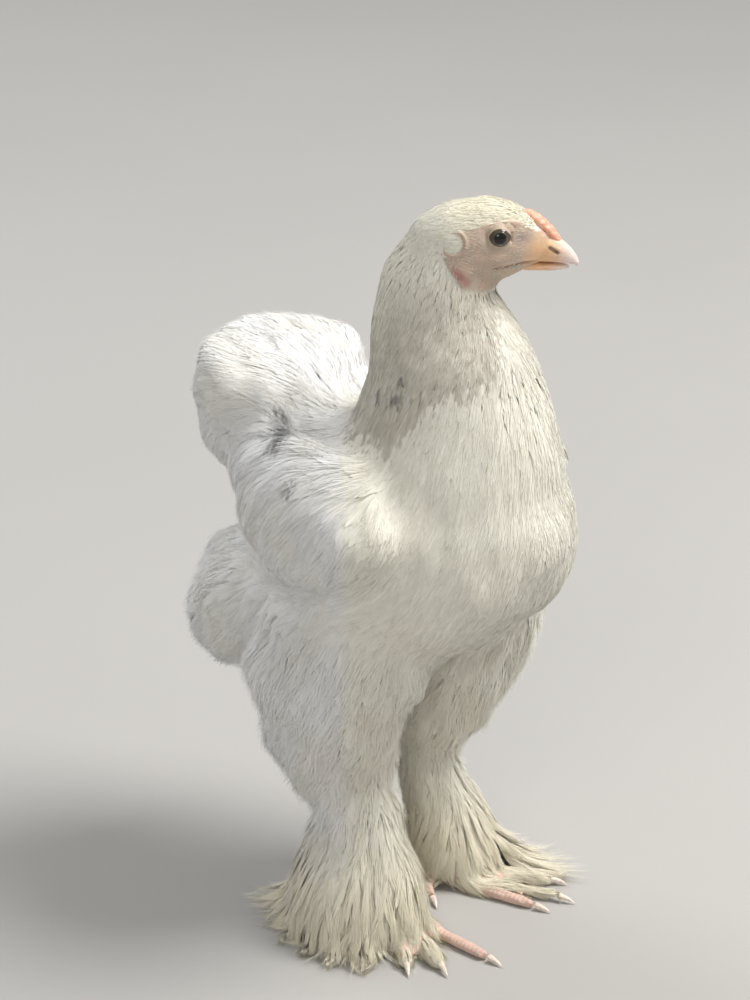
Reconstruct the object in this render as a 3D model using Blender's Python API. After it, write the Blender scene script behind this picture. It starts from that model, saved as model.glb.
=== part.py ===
"""A young brahma chicken standing still, life-size, as one closed solid for each named part of the body.

Metres, +Z up. The bird faces -Y and its left side is +X, so every place below is written as
(forward, left, up) and turned into world coordinates by at(). The floor is at up = 0.
The solids give the outline out to the tips of the feathers.
"""

import math

import bmesh
import bpy
from mathutils import Matrix, Vector

# Driving dimensions, in metres and degrees
GAP = 0.0003  # left between a piece and the neighbour that cuts it
HEAD_YAW = 40.0  # how far the head is turned to the bird's left
HEAD_PITCH = 5.0  # how far the bill points below level
HEAD_ORIGIN = (0.0343, 0.0167, 0.3985)  # the point midway between the eyes
EYE_RADIUS = 0.0064
EYE_SIDE = 0.0112  # from the middle of the head to the centre of an eyeball

TOE_RADIUS = 0.0053
TOE_SINK = 0.84  # height of a toe's middle line over the floor, as a share of its radius
CLAW_LENGTH = 0.013
CLAW_RADIUS = 0.0029
FOOT_PAD_HEIGHT = 0.013
HALLUX_HEIGHT = 0.015
FAN_ROOT = 0.30  # where a foot's feather fan starts, as a share of its reach
FAN_CLEARANCE = 0.0025
TRUNK_SQUARENESS = 0.08
WING_LEAN = 26.0  # how far a wing's upper edge leans in towards the back

# The middle of each foot, where its toes meet
FOOT_RIGHT = (0.010, -0.027, FOOT_PAD_HEIGHT)
FOOT_LEFT = (-0.007, 0.026, FOOT_PAD_HEIGHT)

# Where the hind toe starts, from the middle of its foot
HIND_RIGHT = (-0.005, 0.002)
HIND_LEFT = (-0.006, -0.008)

# Toe: distance of its tip from where the toes meet, without the claw, heading of that tip in degrees outward
# from straight ahead, and girth as a share of TOE_RADIUS
TOES_RIGHT = {
    "inner": (0.056, -2.0, 0.95),
    "middle": (0.046, 26.0, 1.20),
    "outer": (0.041, 48.0, 1.10),
    "hind": (0.030, 186.0, 0.85),
}
TOES_LEFT = {
    "inner": (0.060, 7.0, 0.95),
    "middle": (0.068, 19.0, 1.20),
    "outer": (0.060, 34.0, 1.10),
    "hind": (0.021, -36.5, 0.85),
}

# How far outward of the middle of the foot each toe starts
TOE_SPREAD = {"inner": -0.0042, "middle": 0.0, "outer": 0.0042, "hind": 0.0}

# Colours as (red, green, blue), linear
PLUMAGE = (0.80, 0.79, 0.74)
FACE_SKIN = (0.62, 0.45, 0.40)
TOE_SKIN = (0.66, 0.46, 0.38)
COMB_RED = (0.70, 0.22, 0.16)
HORN = (0.72, 0.52, 0.34)
EYE_DARK = (0.03, 0.025, 0.02)

BIG_SIDES = 16
BOOT_SIDES = 14
SMALL_SIDES = 10
TOE_SIDES = 8


def at(forward, left, up):
    """World place of a point given as (forward, left, up) in the bird's own directions."""
    return Vector((left, -forward, up))


def clear_scene():
    for obj in list(bpy.data.objects):
        bpy.data.objects.remove(obj)


def material(name, colour, roughness):
    made = bpy.data.materials.new(name)
    made.use_nodes = True
    shader = made.node_tree.nodes["Principled BSDF"]
    shader.inputs["Base Color"].default_value = (*colour, 1)
    shader.inputs["Roughness"].default_value = roughness
    shader.inputs["Metallic"].default_value = 0.0
    return made


def through(values, share):
    """A smooth curve through the values, read at share 0 to 1. Values are numbers or vectors."""
    place = share * (len(values) - 1)
    first = min(int(place), len(values) - 2)
    t = place - first
    before = values[max(first - 1, 0)]
    start = values[first]
    end = values[first + 1]
    after = values[min(first + 2, len(values) - 1)]
    return (
        start
        + (end - before) * (0.5 * t)
        + (before * 2 - start * 5 + end * 4 - after) * (0.5 * t * t)
        + (start * 3 - before - end * 3 + after) * (0.5 * t * t * t)
    )


def object_of(name, mesh_builder, finish):
    """An object of this mesh, in triangles so that a piece and its cutter have the very same faces."""
    mesh = bpy.data.meshes.new(name)
    bmesh.ops.triangulate(mesh_builder, faces=mesh_builder.faces)
    bmesh.ops.recalc_face_normals(mesh_builder, faces=mesh_builder.faces)
    if mesh_builder.calc_volume(signed=True) < 0:
        bmesh.ops.reverse_faces(mesh_builder, faces=mesh_builder.faces)
    mesh_builder.to_mesh(mesh)
    mesh_builder.free()
    mesh.shade_smooth()
    mesh.materials.append(finish)
    made = bpy.data.objects.new(name, mesh)
    bpy.context.scene.collection.objects.link(made)
    return made


def loft(name, stations, finish, rings=14, sides=BIG_SIDES, turns=None, rolls=None, floor=None, ruffle=None):
    """A closed body of rings along a smooth path.

    A station is (forward, left, up, half_width, half_depth): the half width is measured to the bird's
    left and the half depth at right angles to it and to the path. turns gives each station's heading in
    degrees to the left, rolls how far its ring is rolled about the path, floor flattens what would lie
    lower, and ruffle(share, angle) scales a ring.
    """
    centres = [at(*station[:3]) for station in stations]
    widths = [station[3] for station in stations]
    depths = [station[4] for station in stations]
    turns = turns or [0.0] * len(stations)
    rolls = rolls or [0.0] * len(stations)
    builder = bmesh.new()
    loops = []
    for index in range(rings):
        # Rings are closer together at both rounded ends
        share = (1 - math.cos(math.pi * index / (rings - 1))) / 2
        centre = through(centres, share)
        tangent = through(centres, min(share + 0.02, 1)) - through(centres, max(share - 0.02, 0))
        tangent.normalize()
        sideways = Matrix.Rotation(math.radians(through(turns, share)), 3, "Z") @ Vector((1, 0, 0))
        sideways = (sideways - tangent * sideways.dot(tangent)).normalized()
        sideways = Matrix.Rotation(math.radians(through(rolls, share)), 3, tangent) @ sideways
        other = tangent.cross(sideways)
        width = max(through(widths, share), 0.0004)
        depth = max(through(depths, share), 0.0004)
        loop = []
        for side in range(sides):
            angle = math.tau * (side + 0.5) / sides
            scale = ruffle(share, angle) if ruffle else 1.0
            point = centre + sideways * (width * scale * math.cos(angle))
            point += other * (depth * scale * math.sin(angle))
            if floor is not None:
                point.z = max(point.z, floor)
            loop.append(builder.verts.new(point))
        loops.append(loop)
    for lower, upper in zip(loops, loops[1:]):
        for side in range(sides):
            after = (side + 1) % sides
            builder.faces.new((lower[side], lower[after], upper[after], upper[side]))
    builder.faces.new(loops[0])
    builder.faces.new(loops[-1])
    return object_of(name, builder, finish)


def ellipsoid(name, centre, radii, finish, turn=None, segments=16, rings=10):
    """A round body of three half sizes, turned by a rotation matrix and set at a world place."""
    builder = bmesh.new()
    bmesh.ops.create_uvsphere(builder, u_segments=segments, v_segments=rings, radius=1.0)
    shape = Matrix.Translation(centre)
    if turn:
        shape = shape @ turn.to_4x4()
    bmesh.ops.transform(builder, matrix=shape @ Matrix.Diagonal((*radii, 1)), verts=builder.verts)
    return object_of(name, builder, finish)


def cut_by(piece, *neighbours):
    """Takes from the piece what its neighbours fill, leaving GAP between them."""
    for neighbour in neighbours:
        cutter = bpy.data.objects.new(piece.name + "_cut_by_" + neighbour.name, neighbour.data.copy())
        cutter.data.shade_flat()
        cutter.hide_render = True
        cutter.display_type = "WIRE"
        bpy.context.scene.collection.objects.link(cutter)
        swell = cutter.modifiers.new("swell", "DISPLACE")
        swell.strength = GAP
        swell.mid_level = 0.0
        cut = piece.modifiers.new("cut_" + neighbour.name, "BOOLEAN")
        cut.operation = "DIFFERENCE"
        cut.object = cutter
    return piece


def head_place(forward, left, up):
    """World place of a point given in the head's own directions, from HEAD_ORIGIN."""
    return at(*HEAD_ORIGIN) + head_turn() @ at(forward, left, up)


def head_turn():
    yaw = Matrix.Rotation(math.radians(HEAD_YAW), 3, "Z")
    return yaw @ Matrix.Rotation(math.radians(HEAD_PITCH), 3, "X")


def head_loft(name, stations, finish, **options):
    """A loft whose stations are given in the head's own directions."""
    turned = []
    for forward, left, up, half_width, half_depth in stations:
        place = head_place(forward, left, up)
        turned.append((-place.y, place.x, place.z, half_width, half_depth))
    return loft(name, turned, finish, turns=[HEAD_YAW] * len(stations), **options)


def make_trunk(finish):
    """The body from the crop to the rump, a little squarer than an oval across."""

    def shoulders(share, angle):
        return 1 + TRUNK_SQUARENESS * math.sin(2 * angle) ** 2

    stations = [
        (-0.102, 0, 0.226, 0.005, 0.007),
        (-0.097, 0, 0.225, 0.026, 0.028),
        (-0.079, 0, 0.223, 0.047, 0.050),
        (-0.048, 0, 0.222, 0.070, 0.064),
        (-0.012, 0, 0.226, 0.079, 0.069),
        (0.020, 0, 0.233, 0.075, 0.066),
        (0.048, 0, 0.240, 0.062, 0.054),
        (0.070, 0, 0.245, 0.042, 0.037),
        (0.082, 0, 0.247, 0.021, 0.019),
        (0.086, 0, 0.248, 0.004, 0.004),
    ]
    return loft("trunk", stations, finish, rings=13, sides=20, ruffle=shoulders)


def make_neck(finish):
    stations = [
        (0.012, 0, 0.238, 0.056, 0.050),
        (0.020, 0, 0.270, 0.059, 0.060),
        (0.021, 0, 0.301, 0.048, 0.053),
        (0.018, 0, 0.330, 0.038, 0.043),
        (0.009, -0.001, 0.355, 0.026, 0.034),
        (0.0118, -0.0012, 0.376, 0.0202, 0.0283),
        (0.0175, 0.0035, 0.393, 0.0135, 0.0195),
    ]
    turns = [0, 0, 5, 15, 30, HEAD_YAW, HEAD_YAW]
    return loft("neck", stations, finish, rings=11, turns=turns)


def make_head(finish):
    stations = [
        (-0.0425, 0, -0.014, 0.004, 0.004),
        (-0.0395, 0, -0.013, 0.0110, 0.0125),
        (-0.029, 0, -0.009, 0.0165, 0.0185),
        (-0.012, 0, -0.006, 0.0180, 0.0225),
        (0.002, 0, -0.0055, 0.0155, 0.0222),
        (0.012, 0, -0.0055, 0.0125, 0.0182),
        (0.020, 0, -0.0065, 0.0090, 0.0125),
        (0.026, 0, -0.0085, 0.0060, 0.0085),
        (0.030, 0, -0.0100, 0.0035, 0.0050),
    ]
    return head_loft("head", stations, finish, rings=12, sides=15)


def make_bill(finish):
    upper = [
        (0.014, 0, -0.0070, 0.0075, 0.0080),
        (0.022, 0, -0.0076, 0.0068, 0.0080),
        (0.029, 0, -0.0088, 0.0054, 0.0068),
        (0.036, 0, -0.0113, 0.0037, 0.0044),
        (0.0405, 0, -0.0142, 0.0019, 0.0022),
        (0.0420, 0, -0.0162, 0.0006, 0.0006),
    ]
    lower = [
        (0.008, 0, -0.0180, 0.0058, 0.0028),
        (0.018, 0, -0.0178, 0.0054, 0.0026),
        (0.028, 0, -0.0176, 0.0040, 0.0022),
        (0.0355, 0, -0.0172, 0.0022, 0.0015),
        (0.0380, 0, -0.0171, 0.0006, 0.0005),
    ]
    top = head_loft("bill_upper", upper, finish, rings=8, sides=SMALL_SIDES)
    bottom = head_loft("bill_lower", lower, finish, rings=7, sides=SMALL_SIDES)
    return top, bottom


def make_comb(finish):
    """A young bird's pea comb: one low ridge of small points over the root of the bill."""

    def points(share, angle):
        return 1 + 0.22 * math.cos(math.tau * 4 * share) * max(math.sin(angle), 0)

    stations = [
        (0.0120, 0, 0.0105, 0.0015, 0.0015),
        (0.0150, 0, 0.0094, 0.0030, 0.0026),
        (0.0200, 0, 0.0064, 0.0040, 0.0031),
        (0.0250, 0, 0.0024, 0.0040, 0.0031),
        (0.0300, 0, -0.0026, 0.0028, 0.0025),
        (0.0325, 0, -0.0046, 0.0008, 0.0008),
    ]
    return head_loft("comb", stations, finish, rings=13, sides=8, ruffle=points)


def make_eye(name, side, finish):
    centre = head_place(0.0, side * EYE_SIDE, 0.0)
    return ellipsoid(name, centre, (EYE_RADIUS,) * 3, finish, segments=12, rings=8)


def make_earlobe(name, side, finish):
    centre = head_place(-0.0150, side * 0.0165, -0.0190)
    return ellipsoid(name, centre, (0.0026, 0.0042, 0.0052), finish, turn=head_turn(), segments=8, rings=6)


def feathered_edge(folds, depth):
    """A ruffle for a tail or wing: its far end breaks into this many rounded feather tips."""

    def ruffle(share, angle):
        return 1 + depth * share * share * (abs(math.cos(folds * angle / 2)) - 0.5)

    return ruffle


def make_tail(finish):
    """The short upright tail and the soft cushion round it, spread as wide as the back."""
    stations = [
        (-0.076, 0, 0.230, 0.034, 0.030),
        (-0.083, 0, 0.248, 0.038, 0.034),
        (-0.093, 0, 0.266, 0.046, 0.047),
        (-0.096, 0, 0.284, 0.051, 0.050),
        (-0.092, 0, 0.298, 0.050, 0.043),
        (-0.088, 0, 0.308, 0.040, 0.029),
        (-0.087, 0, 0.313, 0.008, 0.005),
    ]
    return loft("tail", stations, finish, rings=9, sides=20, ruffle=feathered_edge(5, 0.22))


def make_rear_fluff(finish):
    """The soft cushion under the tail, behind the thighs."""
    stations = [
        (-0.040, 0, 0.184, 0.052, 0.046),
        (-0.070, 0, 0.174, 0.064, 0.052),
        (-0.098, 0, 0.163, 0.061, 0.045),
        (-0.123, 0, 0.152, 0.049, 0.037),
        (-0.141, 0, 0.145, 0.027, 0.021),
        (-0.147, 0, 0.142, 0.004, 0.004),
    ]
    return loft("rear_fluff", stations, finish, rings=9)


def make_wing(name, side, finish):
    """A folded wing, from its rounded shoulder to the tips of its long feathers beside the tail."""
    stations = [
        (0.036, side * 0.064, 0.262, 0.003, 0.005),
        (0.028, side * 0.068, 0.260, 0.010, 0.021),
        (0.006, side * 0.073, 0.257, 0.014, 0.034),
        (-0.026, side * 0.072, 0.255, 0.015, 0.038),
        (-0.056, side * 0.060, 0.257, 0.014, 0.033),
        (-0.080, side * 0.043, 0.261, 0.012, 0.025),
        (-0.100, side * 0.028, 0.266, 0.009, 0.016),
        (-0.110, side * 0.020, 0.269, 0.003, 0.006),
    ]
    lean = -side * WING_LEAN
    rolls = [lean, lean, lean, lean * 0.9, lean * 0.6, lean * 0.3, 0.0, 0.0]
    return loft(name, stations, finish, rings=10, sides=14, rolls=rolls, ruffle=feathered_edge(4, 0.16))


def make_thigh(name, stations, finish):
    return loft(name, stations, finish, rings=9)


def make_shank(name, stations, finish):
    return loft(name, stations, finish, rings=8, sides=BOOT_SIDES, floor=0.0035, ruffle=feathered_edge(4, 0.14))


THIGH_RIGHT = [
    (0.000, -0.040, 0.205, 0.036, 0.042),
    (-0.016, -0.042, 0.176, 0.044, 0.050),
    (-0.032, -0.041, 0.142, 0.042, 0.048),
    (-0.032, -0.037, 0.112, 0.034, 0.038),
    (-0.028, -0.031, 0.086, 0.028, 0.029),
    (-0.021, -0.029, 0.071, 0.020, 0.020),
    (-0.018, -0.029, 0.064, 0.006, 0.007),
]
THIGH_LEFT = [
    (0.004, 0.042, 0.205, 0.034, 0.038),
    (-0.004, 0.045, 0.174, 0.040, 0.044),
    (-0.012, 0.042, 0.142, 0.038, 0.041),
    (-0.017, 0.040, 0.117, 0.032, 0.034),
    (-0.022, 0.036, 0.096, 0.024, 0.026),
    (-0.023, 0.033, 0.080, 0.017, 0.019),
    (-0.022, 0.032, 0.072, 0.006, 0.007),
]
SHANK_RIGHT = [
    (-0.020, -0.029, 0.090, 0.010, 0.012),
    (-0.019, -0.030, 0.076, 0.019, 0.021),
    (-0.017, -0.034, 0.056, 0.025, 0.028),
    (-0.013, -0.039, 0.036, 0.032, 0.035),
    (-0.010, -0.042, 0.018, 0.037, 0.038),
    (-0.010, -0.042, 0.006, 0.035, 0.036),
]
SHANK_LEFT = [
    (-0.023, 0.032, 0.096, 0.010, 0.011),
    (-0.022, 0.032, 0.080, 0.016, 0.017),
    (-0.020, 0.034, 0.056, 0.019, 0.019),
    (-0.014, 0.038, 0.036, 0.023, 0.021),
    (-0.010, 0.041, 0.018, 0.027, 0.027),
    (-0.010, 0.041, 0.006, 0.026, 0.026),
]
# The fan of long feathers round the outer side of each foot: its middle, its first and last headings in
# degrees outward from straight ahead, how far the tips reach along the way, and how high its root is
FAN_RIGHT = ((-0.010, -0.040, 0), (38.0, 170.0), (0.053, 0.048, 0.045, 0.052, 0.068), 0.036)
FAN_LEFT = ((-0.005, 0.040, 0), (26.0, 168.0), (0.072, 0.050, 0.044, 0.048, 0.056), 0.028)


def heading(degrees_outward, side):
    """Level direction at this angle outward from straight ahead, on the bird's side +1 left or -1 right."""
    angle = math.radians(degrees_outward)
    return at(math.cos(angle), side * math.sin(angle), 0)


def make_toe(name, start, side, spread, toe, finish, claw_finish):
    """A toe of rounded joints lying on the floor, and its curved claw, which points down to the floor."""
    reach, degrees, girth = toe
    radius = TOE_RADIUS * girth
    root = at(*start) + at(0, side * spread, 0)
    way = at(*start) + heading(degrees, side) * reach - root
    length = way.length
    way.normalize()

    def place(distance, up):
        point = root + way * distance
        return (-point.y, point.x, up)

    joints = 3 if length > 0.04 else 2
    stations = []
    for step in range(2 * joints + 1):
        share = step / (2 * joints)
        swelling = 1.0 if step % 2 == 0 else 0.86
        radius_here = radius * swelling * (1 - 0.32 * share)
        up = start[2] + (radius_here * TOE_SINK - start[2]) * min(share * 2.5, 1)
        stations.append((*place(length * share, up), radius_here, radius_here * 0.95))
    end = stations[-1]
    stations.append((*place(length + 0.0015, end[2]), CLAW_RADIUS * 0.9, CLAW_RADIUS * 0.9))
    turn = math.degrees(math.atan2(way.x, -way.y))
    toe_piece = loft(
        "toe_" + name, stations, finish, rings=8, sides=TOE_SIDES, turns=[turn] * len(stations), floor=0.0
    )
    top = end[2]
    claw_stations = [
        (*place(length + 0.0015 + 3 * GAP, top), CLAW_RADIUS * 0.9, CLAW_RADIUS * 0.9),
        (*place(length + CLAW_LENGTH * 0.35, top), CLAW_RADIUS * 0.84, CLAW_RADIUS * 0.84),
        (*place(length + CLAW_LENGTH * 0.65, top * 0.72), CLAW_RADIUS * 0.6, CLAW_RADIUS * 0.65),
        (*place(length + CLAW_LENGTH * 0.95, top * 0.2), CLAW_RADIUS * 0.25, CLAW_RADIUS * 0.3),
        (*place(length + CLAW_LENGTH, top * 0.05), CLAW_RADIUS * 0.16, CLAW_RADIUS * 0.2),
    ]
    claw = loft("claw_" + name, claw_stations, claw_finish, rings=5, sides=6, turns=[turn] * 5, floor=0.0)
    return toe_piece, claw


def make_fan(name, side, fan, finish, feathers=6, steps_per_feather=2):
    """The fan of long feathers that sweeps out from a shank over the floor, on the foot's outer side.

    It is a wedge, high at its root and thin at its scalloped edge, whose underside hangs just clear of
    the floor.
    """
    centre, headings, reach, height = fan
    steps = feathers * steps_per_feather
    profile = ((FAN_ROOT, FAN_CLEARANCE), (FAN_ROOT, height), (0.68, height * 0.5), (1.0, 0.0050), (1.0, FAN_CLEARANCE))
    builder = bmesh.new()
    rows = []
    for step in range(steps + 1):
        share = step / steps
        way = heading(headings[0] + (headings[1] - headings[0]) * share, side)
        tip = abs(math.sin(math.pi * feathers * share))
        far = through(reach, share) * (0.86 + 0.14 * tip)
        row = []
        for radial, up in profile:
            point = at(*centre) + way * (far * radial)
            point.z = up
            row.append(builder.verts.new(point))
        rows.append(row)
    for first, second in zip(rows, rows[1:]):
        for corner in range(len(first)):
            after = (corner + 1) % len(first)
            builder.faces.new((first[corner], first[after], second[after], second[corner]))
    builder.faces.new(rows[0])
    builder.faces.new(rows[-1])
    return object_of(name, builder, finish)


def make_foot(name, foot, hind, side, toes, finish, claw_finish):
    """The pad where the toes meet, with the toes and claws. Returns the pad, then the toes, then the claws."""
    pad_stations = [
        (foot[0] - 0.013, foot[1], 0.007, 0.0040, 0.0045),
        (foot[0] - 0.009, foot[1], 0.009, 0.0085, 0.0098),
        (foot[0], foot[1], 0.010, 0.0100, 0.0118),
        (foot[0] + 0.007, foot[1], 0.009, 0.0085, 0.0100),
        (foot[0] + 0.011, foot[1], 0.008, 0.0040, 0.0050),
    ]
    pad = loft("foot_pad_" + name, pad_stations, finish, rings=6, sides=12, floor=0.0)
    toe_pieces = []
    claws = []
    for toe_name, toe in toes.items():
        if toe_name == "hind":
            start = (foot[0] + hind[0], foot[1] + hind[1], HALLUX_HEIGHT)
        else:
            start = (foot[0], foot[1], FOOT_PAD_HEIGHT * 0.85)
        spread = TOE_SPREAD[toe_name]
        toe_piece, claw = make_toe(f"{toe_name}_{name}", start, side, spread, toe, finish, claw_finish)
        cut_by(toe_piece, pad, *toe_pieces)
        toe_pieces.append(toe_piece)
        claws.append(claw)
    return pad, toe_pieces, claws


def stand_on_centre():
    """Moves the whole bird so that the middle of its outline's box lies over the origin."""
    bpy.context.view_layer.update()
    graph = bpy.context.evaluated_depsgraph_get()
    places = []
    for obj in bpy.context.scene.objects:
        if not obj.hide_render:
            seen = obj.evaluated_get(graph)
            places += [seen.matrix_world @ Vector(corner) for corner in seen.bound_box]
    middle = [(min(p[axis] for p in places) + max(p[axis] for p in places)) / 2 for axis in (0, 1)]
    for obj in bpy.context.scene.objects:
        obj.location -= Vector((*middle, 0))


def build_bird():
    clear_scene()
    plumage = material("plumage", PLUMAGE, 0.9)
    loose = material("loose_plumage", PLUMAGE, 0.9)
    face = material("face_skin", FACE_SKIN, 0.6)
    toe_skin = material("toe_skin", TOE_SKIN, 0.55)
    red = material("comb", COMB_RED, 0.5)
    horn = material("horn", HORN, 0.4)
    eye_finish = material("eye", EYE_DARK, 0.1)

    trunk = make_trunk(plumage)
    head = make_head(plumage)
    eyes = [make_eye("eye_left", 1, eye_finish), make_eye("eye_right", -1, eye_finish)]
    cut_by(head, *eyes)
    neck = cut_by(make_neck(plumage), trunk, head)
    bill_upper, bill_lower = make_bill(horn)
    cut_by(bill_upper, head)
    cut_by(bill_lower, head, bill_upper)
    cut_by(make_comb(red), head, bill_upper)
    for name, side in (("left", 1), ("right", -1)):
        cut_by(make_earlobe("earlobe_" + name, side, face), head, neck)

    rear_fluff = cut_by(make_rear_fluff(loose), trunk)
    tail = cut_by(make_tail(loose), trunk, rear_fluff)
    wings = [cut_by(make_wing("wing_" + n, s, loose), trunk, neck, tail) for n, s in (("left", 1), ("right", -1))]
    for name, side, thigh, shank, fan, foot, hind, toes in (
        ("right", -1, THIGH_RIGHT, SHANK_RIGHT, FAN_RIGHT, FOOT_RIGHT, HIND_RIGHT, TOES_RIGHT),
        ("left", 1, THIGH_LEFT, SHANK_LEFT, FAN_LEFT, FOOT_LEFT, HIND_LEFT, TOES_LEFT),
    ):
        thigh_piece = make_thigh("thigh_" + name, thigh, plumage)
        shank_piece = make_shank("shank_" + name, shank, loose)
        cut_by(thigh_piece, trunk, rear_fluff, *wings)
        pad, toe_pieces, claws = make_foot(name, foot, hind, side, toes, toe_skin, horn)
        cut_by(shank_piece, thigh_piece, pad, *toe_pieces, claws[-1])
        fan_piece = make_fan("foot_feathers_" + name, side, fan, loose)
        cut_by(fan_piece, shank_piece, *toe_pieces[1:])
    stand_on_centre()


build_bird()
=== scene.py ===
"""Looks of the young brahma chicken: skin, feathers, head, feet, floor, lights and camera.

Metres, +Z up. The body faces -Y and the bird's left is +X. Places on the body are written as (forward, left,
up) by at(), and places on the head in the head's own directions by head_place().
"""

import math

import bmesh
import bpy
import numpy as np
from mathutils import Matrix, Vector
from mathutils.bvhtree import BVHTree


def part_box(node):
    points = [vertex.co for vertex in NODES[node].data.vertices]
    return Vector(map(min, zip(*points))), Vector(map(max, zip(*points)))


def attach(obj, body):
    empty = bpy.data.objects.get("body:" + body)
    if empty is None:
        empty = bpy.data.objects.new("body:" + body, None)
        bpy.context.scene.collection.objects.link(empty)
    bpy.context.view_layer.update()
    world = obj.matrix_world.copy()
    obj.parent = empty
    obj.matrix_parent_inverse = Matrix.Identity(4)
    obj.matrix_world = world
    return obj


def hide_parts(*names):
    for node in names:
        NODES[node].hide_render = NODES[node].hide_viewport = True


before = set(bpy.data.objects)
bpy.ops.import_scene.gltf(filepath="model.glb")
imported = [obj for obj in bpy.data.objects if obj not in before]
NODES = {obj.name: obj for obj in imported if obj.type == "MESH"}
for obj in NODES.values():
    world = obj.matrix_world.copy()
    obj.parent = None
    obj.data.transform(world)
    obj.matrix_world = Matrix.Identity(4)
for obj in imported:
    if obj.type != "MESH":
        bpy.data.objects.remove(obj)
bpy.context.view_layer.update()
rng = np.random.default_rng(11)

# Driving dimensions, in metres and degrees, the same as the solids'
HEAD_YAW = 40.0
HEAD_PITCH = 5.0
HEAD_ORIGIN = (0.0343, 0.0167, 0.3985)
EYE_RADIUS = 0.0064
EYE_SIDE = 0.0112
PUPIL_RADIUS = 0.0028
IRIS_RADIUS = 0.0049

SAME_PLACE = 1e-6  # vertices this close together are one
TRIES = 6  # places tried for each one kept when roots are scattered

FLESH = [
    "trunk", "neck", "head", "rear_fluff", "tail", "wing_left", "wing_right",
    "thigh_left", "thigh_right", "shank_left", "shank_right",
]
TOES = [f"toe_{toe}_{side}" for side in ("left", "right") for toe in ("inner", "middle", "outer", "hind")]
PADS = ["foot_pad_left", "foot_pad_right"]
CLAWS = [name.replace("toe_", "claw_") for name in TOES]
# Forward and left, at the root of each foot's fan
FAN_CENTRE = {"right": (-0.010, -0.040), "left": (-0.005, 0.040)}


def middle_of(node):
    low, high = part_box(node)
    return (Vector(low) + Vector(high)) / 2


HEAD_CENTRE = (middle_of("eye_left") + middle_of("eye_right")) / 2
OFFSET = HEAD_CENTRE - Vector((HEAD_ORIGIN[1], -HEAD_ORIGIN[0], HEAD_ORIGIN[2]))
HEAD_TURN = Matrix.Rotation(math.radians(HEAD_YAW), 3, "Z")
HEAD_TURN = HEAD_TURN @ Matrix.Rotation(math.radians(HEAD_PITCH), 3, "X")


def way(forward, left, up):
    """A direction given in the bird's own directions."""
    return Vector((left, -forward, up))


def at(forward, left, up):
    """World place of a point given in the bird's own directions."""
    return way(forward, left, up) + OFFSET


def head_place(forward, left, up):
    return HEAD_CENTRE + HEAD_TURN @ way(forward, left, up)


def head_local(points):
    """(forward, left, up) in the head's own directions, of world points in an array."""
    local = (points - np.array(HEAD_CENTRE)) @ np.array(HEAD_TURN)
    return np.stack([-local[:, 1], local[:, 0], local[:, 2]], axis=1)


def head_world(ahead, left, up):
    """World points of arrays given in the head's own directions."""
    return np.stack([left, -ahead, up], axis=-1) @ np.array(HEAD_TURN).T + np.array(HEAD_CENTRE)


def bird_ways(points):
    """(forward, left, up) of world points in an array."""
    body = points - np.array(OFFSET)
    return -body[:, 1], body[:, 0], body[:, 2]


def unit(vectors):
    return vectors / np.maximum(np.linalg.norm(vectors, axis=-1, keepdims=True), 1e-12)


def smooth(low, high, value):
    """0 below low, 1 above high, and an even slope between."""
    t = np.clip((value - low) / (high - low), 0, 1)
    return t * t * (3 - 2 * t)


# Surfaces that carry the feathers


def linked(name, data):
    """A new object in the scene that holds this data."""
    made = bpy.data.objects.new(name, data)
    bpy.context.scene.collection.objects.link(made)
    return made


def mesh_of(name, builder):
    mesh = bpy.data.meshes.new(name)
    builder.to_mesh(mesh)
    builder.free()
    return mesh


def joined_nodes(names, swell):
    """One mesh of these CAD nodes, swollen so that they run into each other."""
    joined = bmesh.new()
    for name in names:
        part = bmesh.new()
        part.from_mesh(NODES[name].data)
        bmesh.ops.remove_doubles(part, verts=part.verts, dist=SAME_PLACE)
        bmesh.ops.recalc_face_normals(part, faces=part.faces)
        part.normal_update()
        copies = [joined.verts.new(vertex.co + vertex.normal * swell) for vertex in part.verts]
        part.verts.index_update()
        for face in part.faces:
            joined.faces.new([copies[vertex.index] for vertex in face.verts])
        part.free()
    return mesh_of("joined", joined)


def remeshed(mesh, voxel):
    """(vertices, triangles) of the outer surface of a mesh, made of even small faces."""
    carrier = linked("remesh_carrier", mesh)
    remesh = carrier.modifiers.new("remesh", "REMESH")
    remesh.mode = "VOXEL"
    remesh.voxel_size = voxel
    bpy.context.view_layer.update()
    even = bpy.data.meshes.new_from_object(carrier.evaluated_get(bpy.context.evaluated_depsgraph_get()))
    bpy.data.objects.remove(carrier)
    even.calc_loop_triangles()
    vertices = np.empty(len(even.vertices) * 3)
    even.vertices.foreach_get("co", vertices)
    triangles = np.empty(len(even.loop_triangles) * 3, np.int32)
    even.loop_triangles.foreach_get("vertices", triangles)
    bpy.data.meshes.remove(even)
    return largest_part(vertices.reshape(-1, 3), triangles.reshape(-1, 3))


def largest_part(vertices, triangles):
    """The biggest connected part of a mesh."""
    label = np.arange(len(vertices))
    settled = False
    while not settled:
        fresh = label.copy()
        for corner in range(3):
            np.minimum.at(fresh, triangles[:, corner], label[triangles].min(axis=1))
        fresh = fresh[fresh]
        settled = np.array_equal(fresh, label)
        label = fresh
    triangles = triangles[label[triangles[:, 0]] == np.bincount(label).argmax()]
    used = np.unique(triangles)
    renumber = np.zeros(len(vertices), np.int32)
    renumber[used] = np.arange(len(used))
    return vertices[used], renumber[triangles]


def edges_of(triangles):
    pairs = np.concatenate([triangles[:, [0, 1]], triangles[:, [1, 2]], triangles[:, [2, 0]]])
    return np.unique(np.sort(pairs, axis=1), axis=0)


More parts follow.
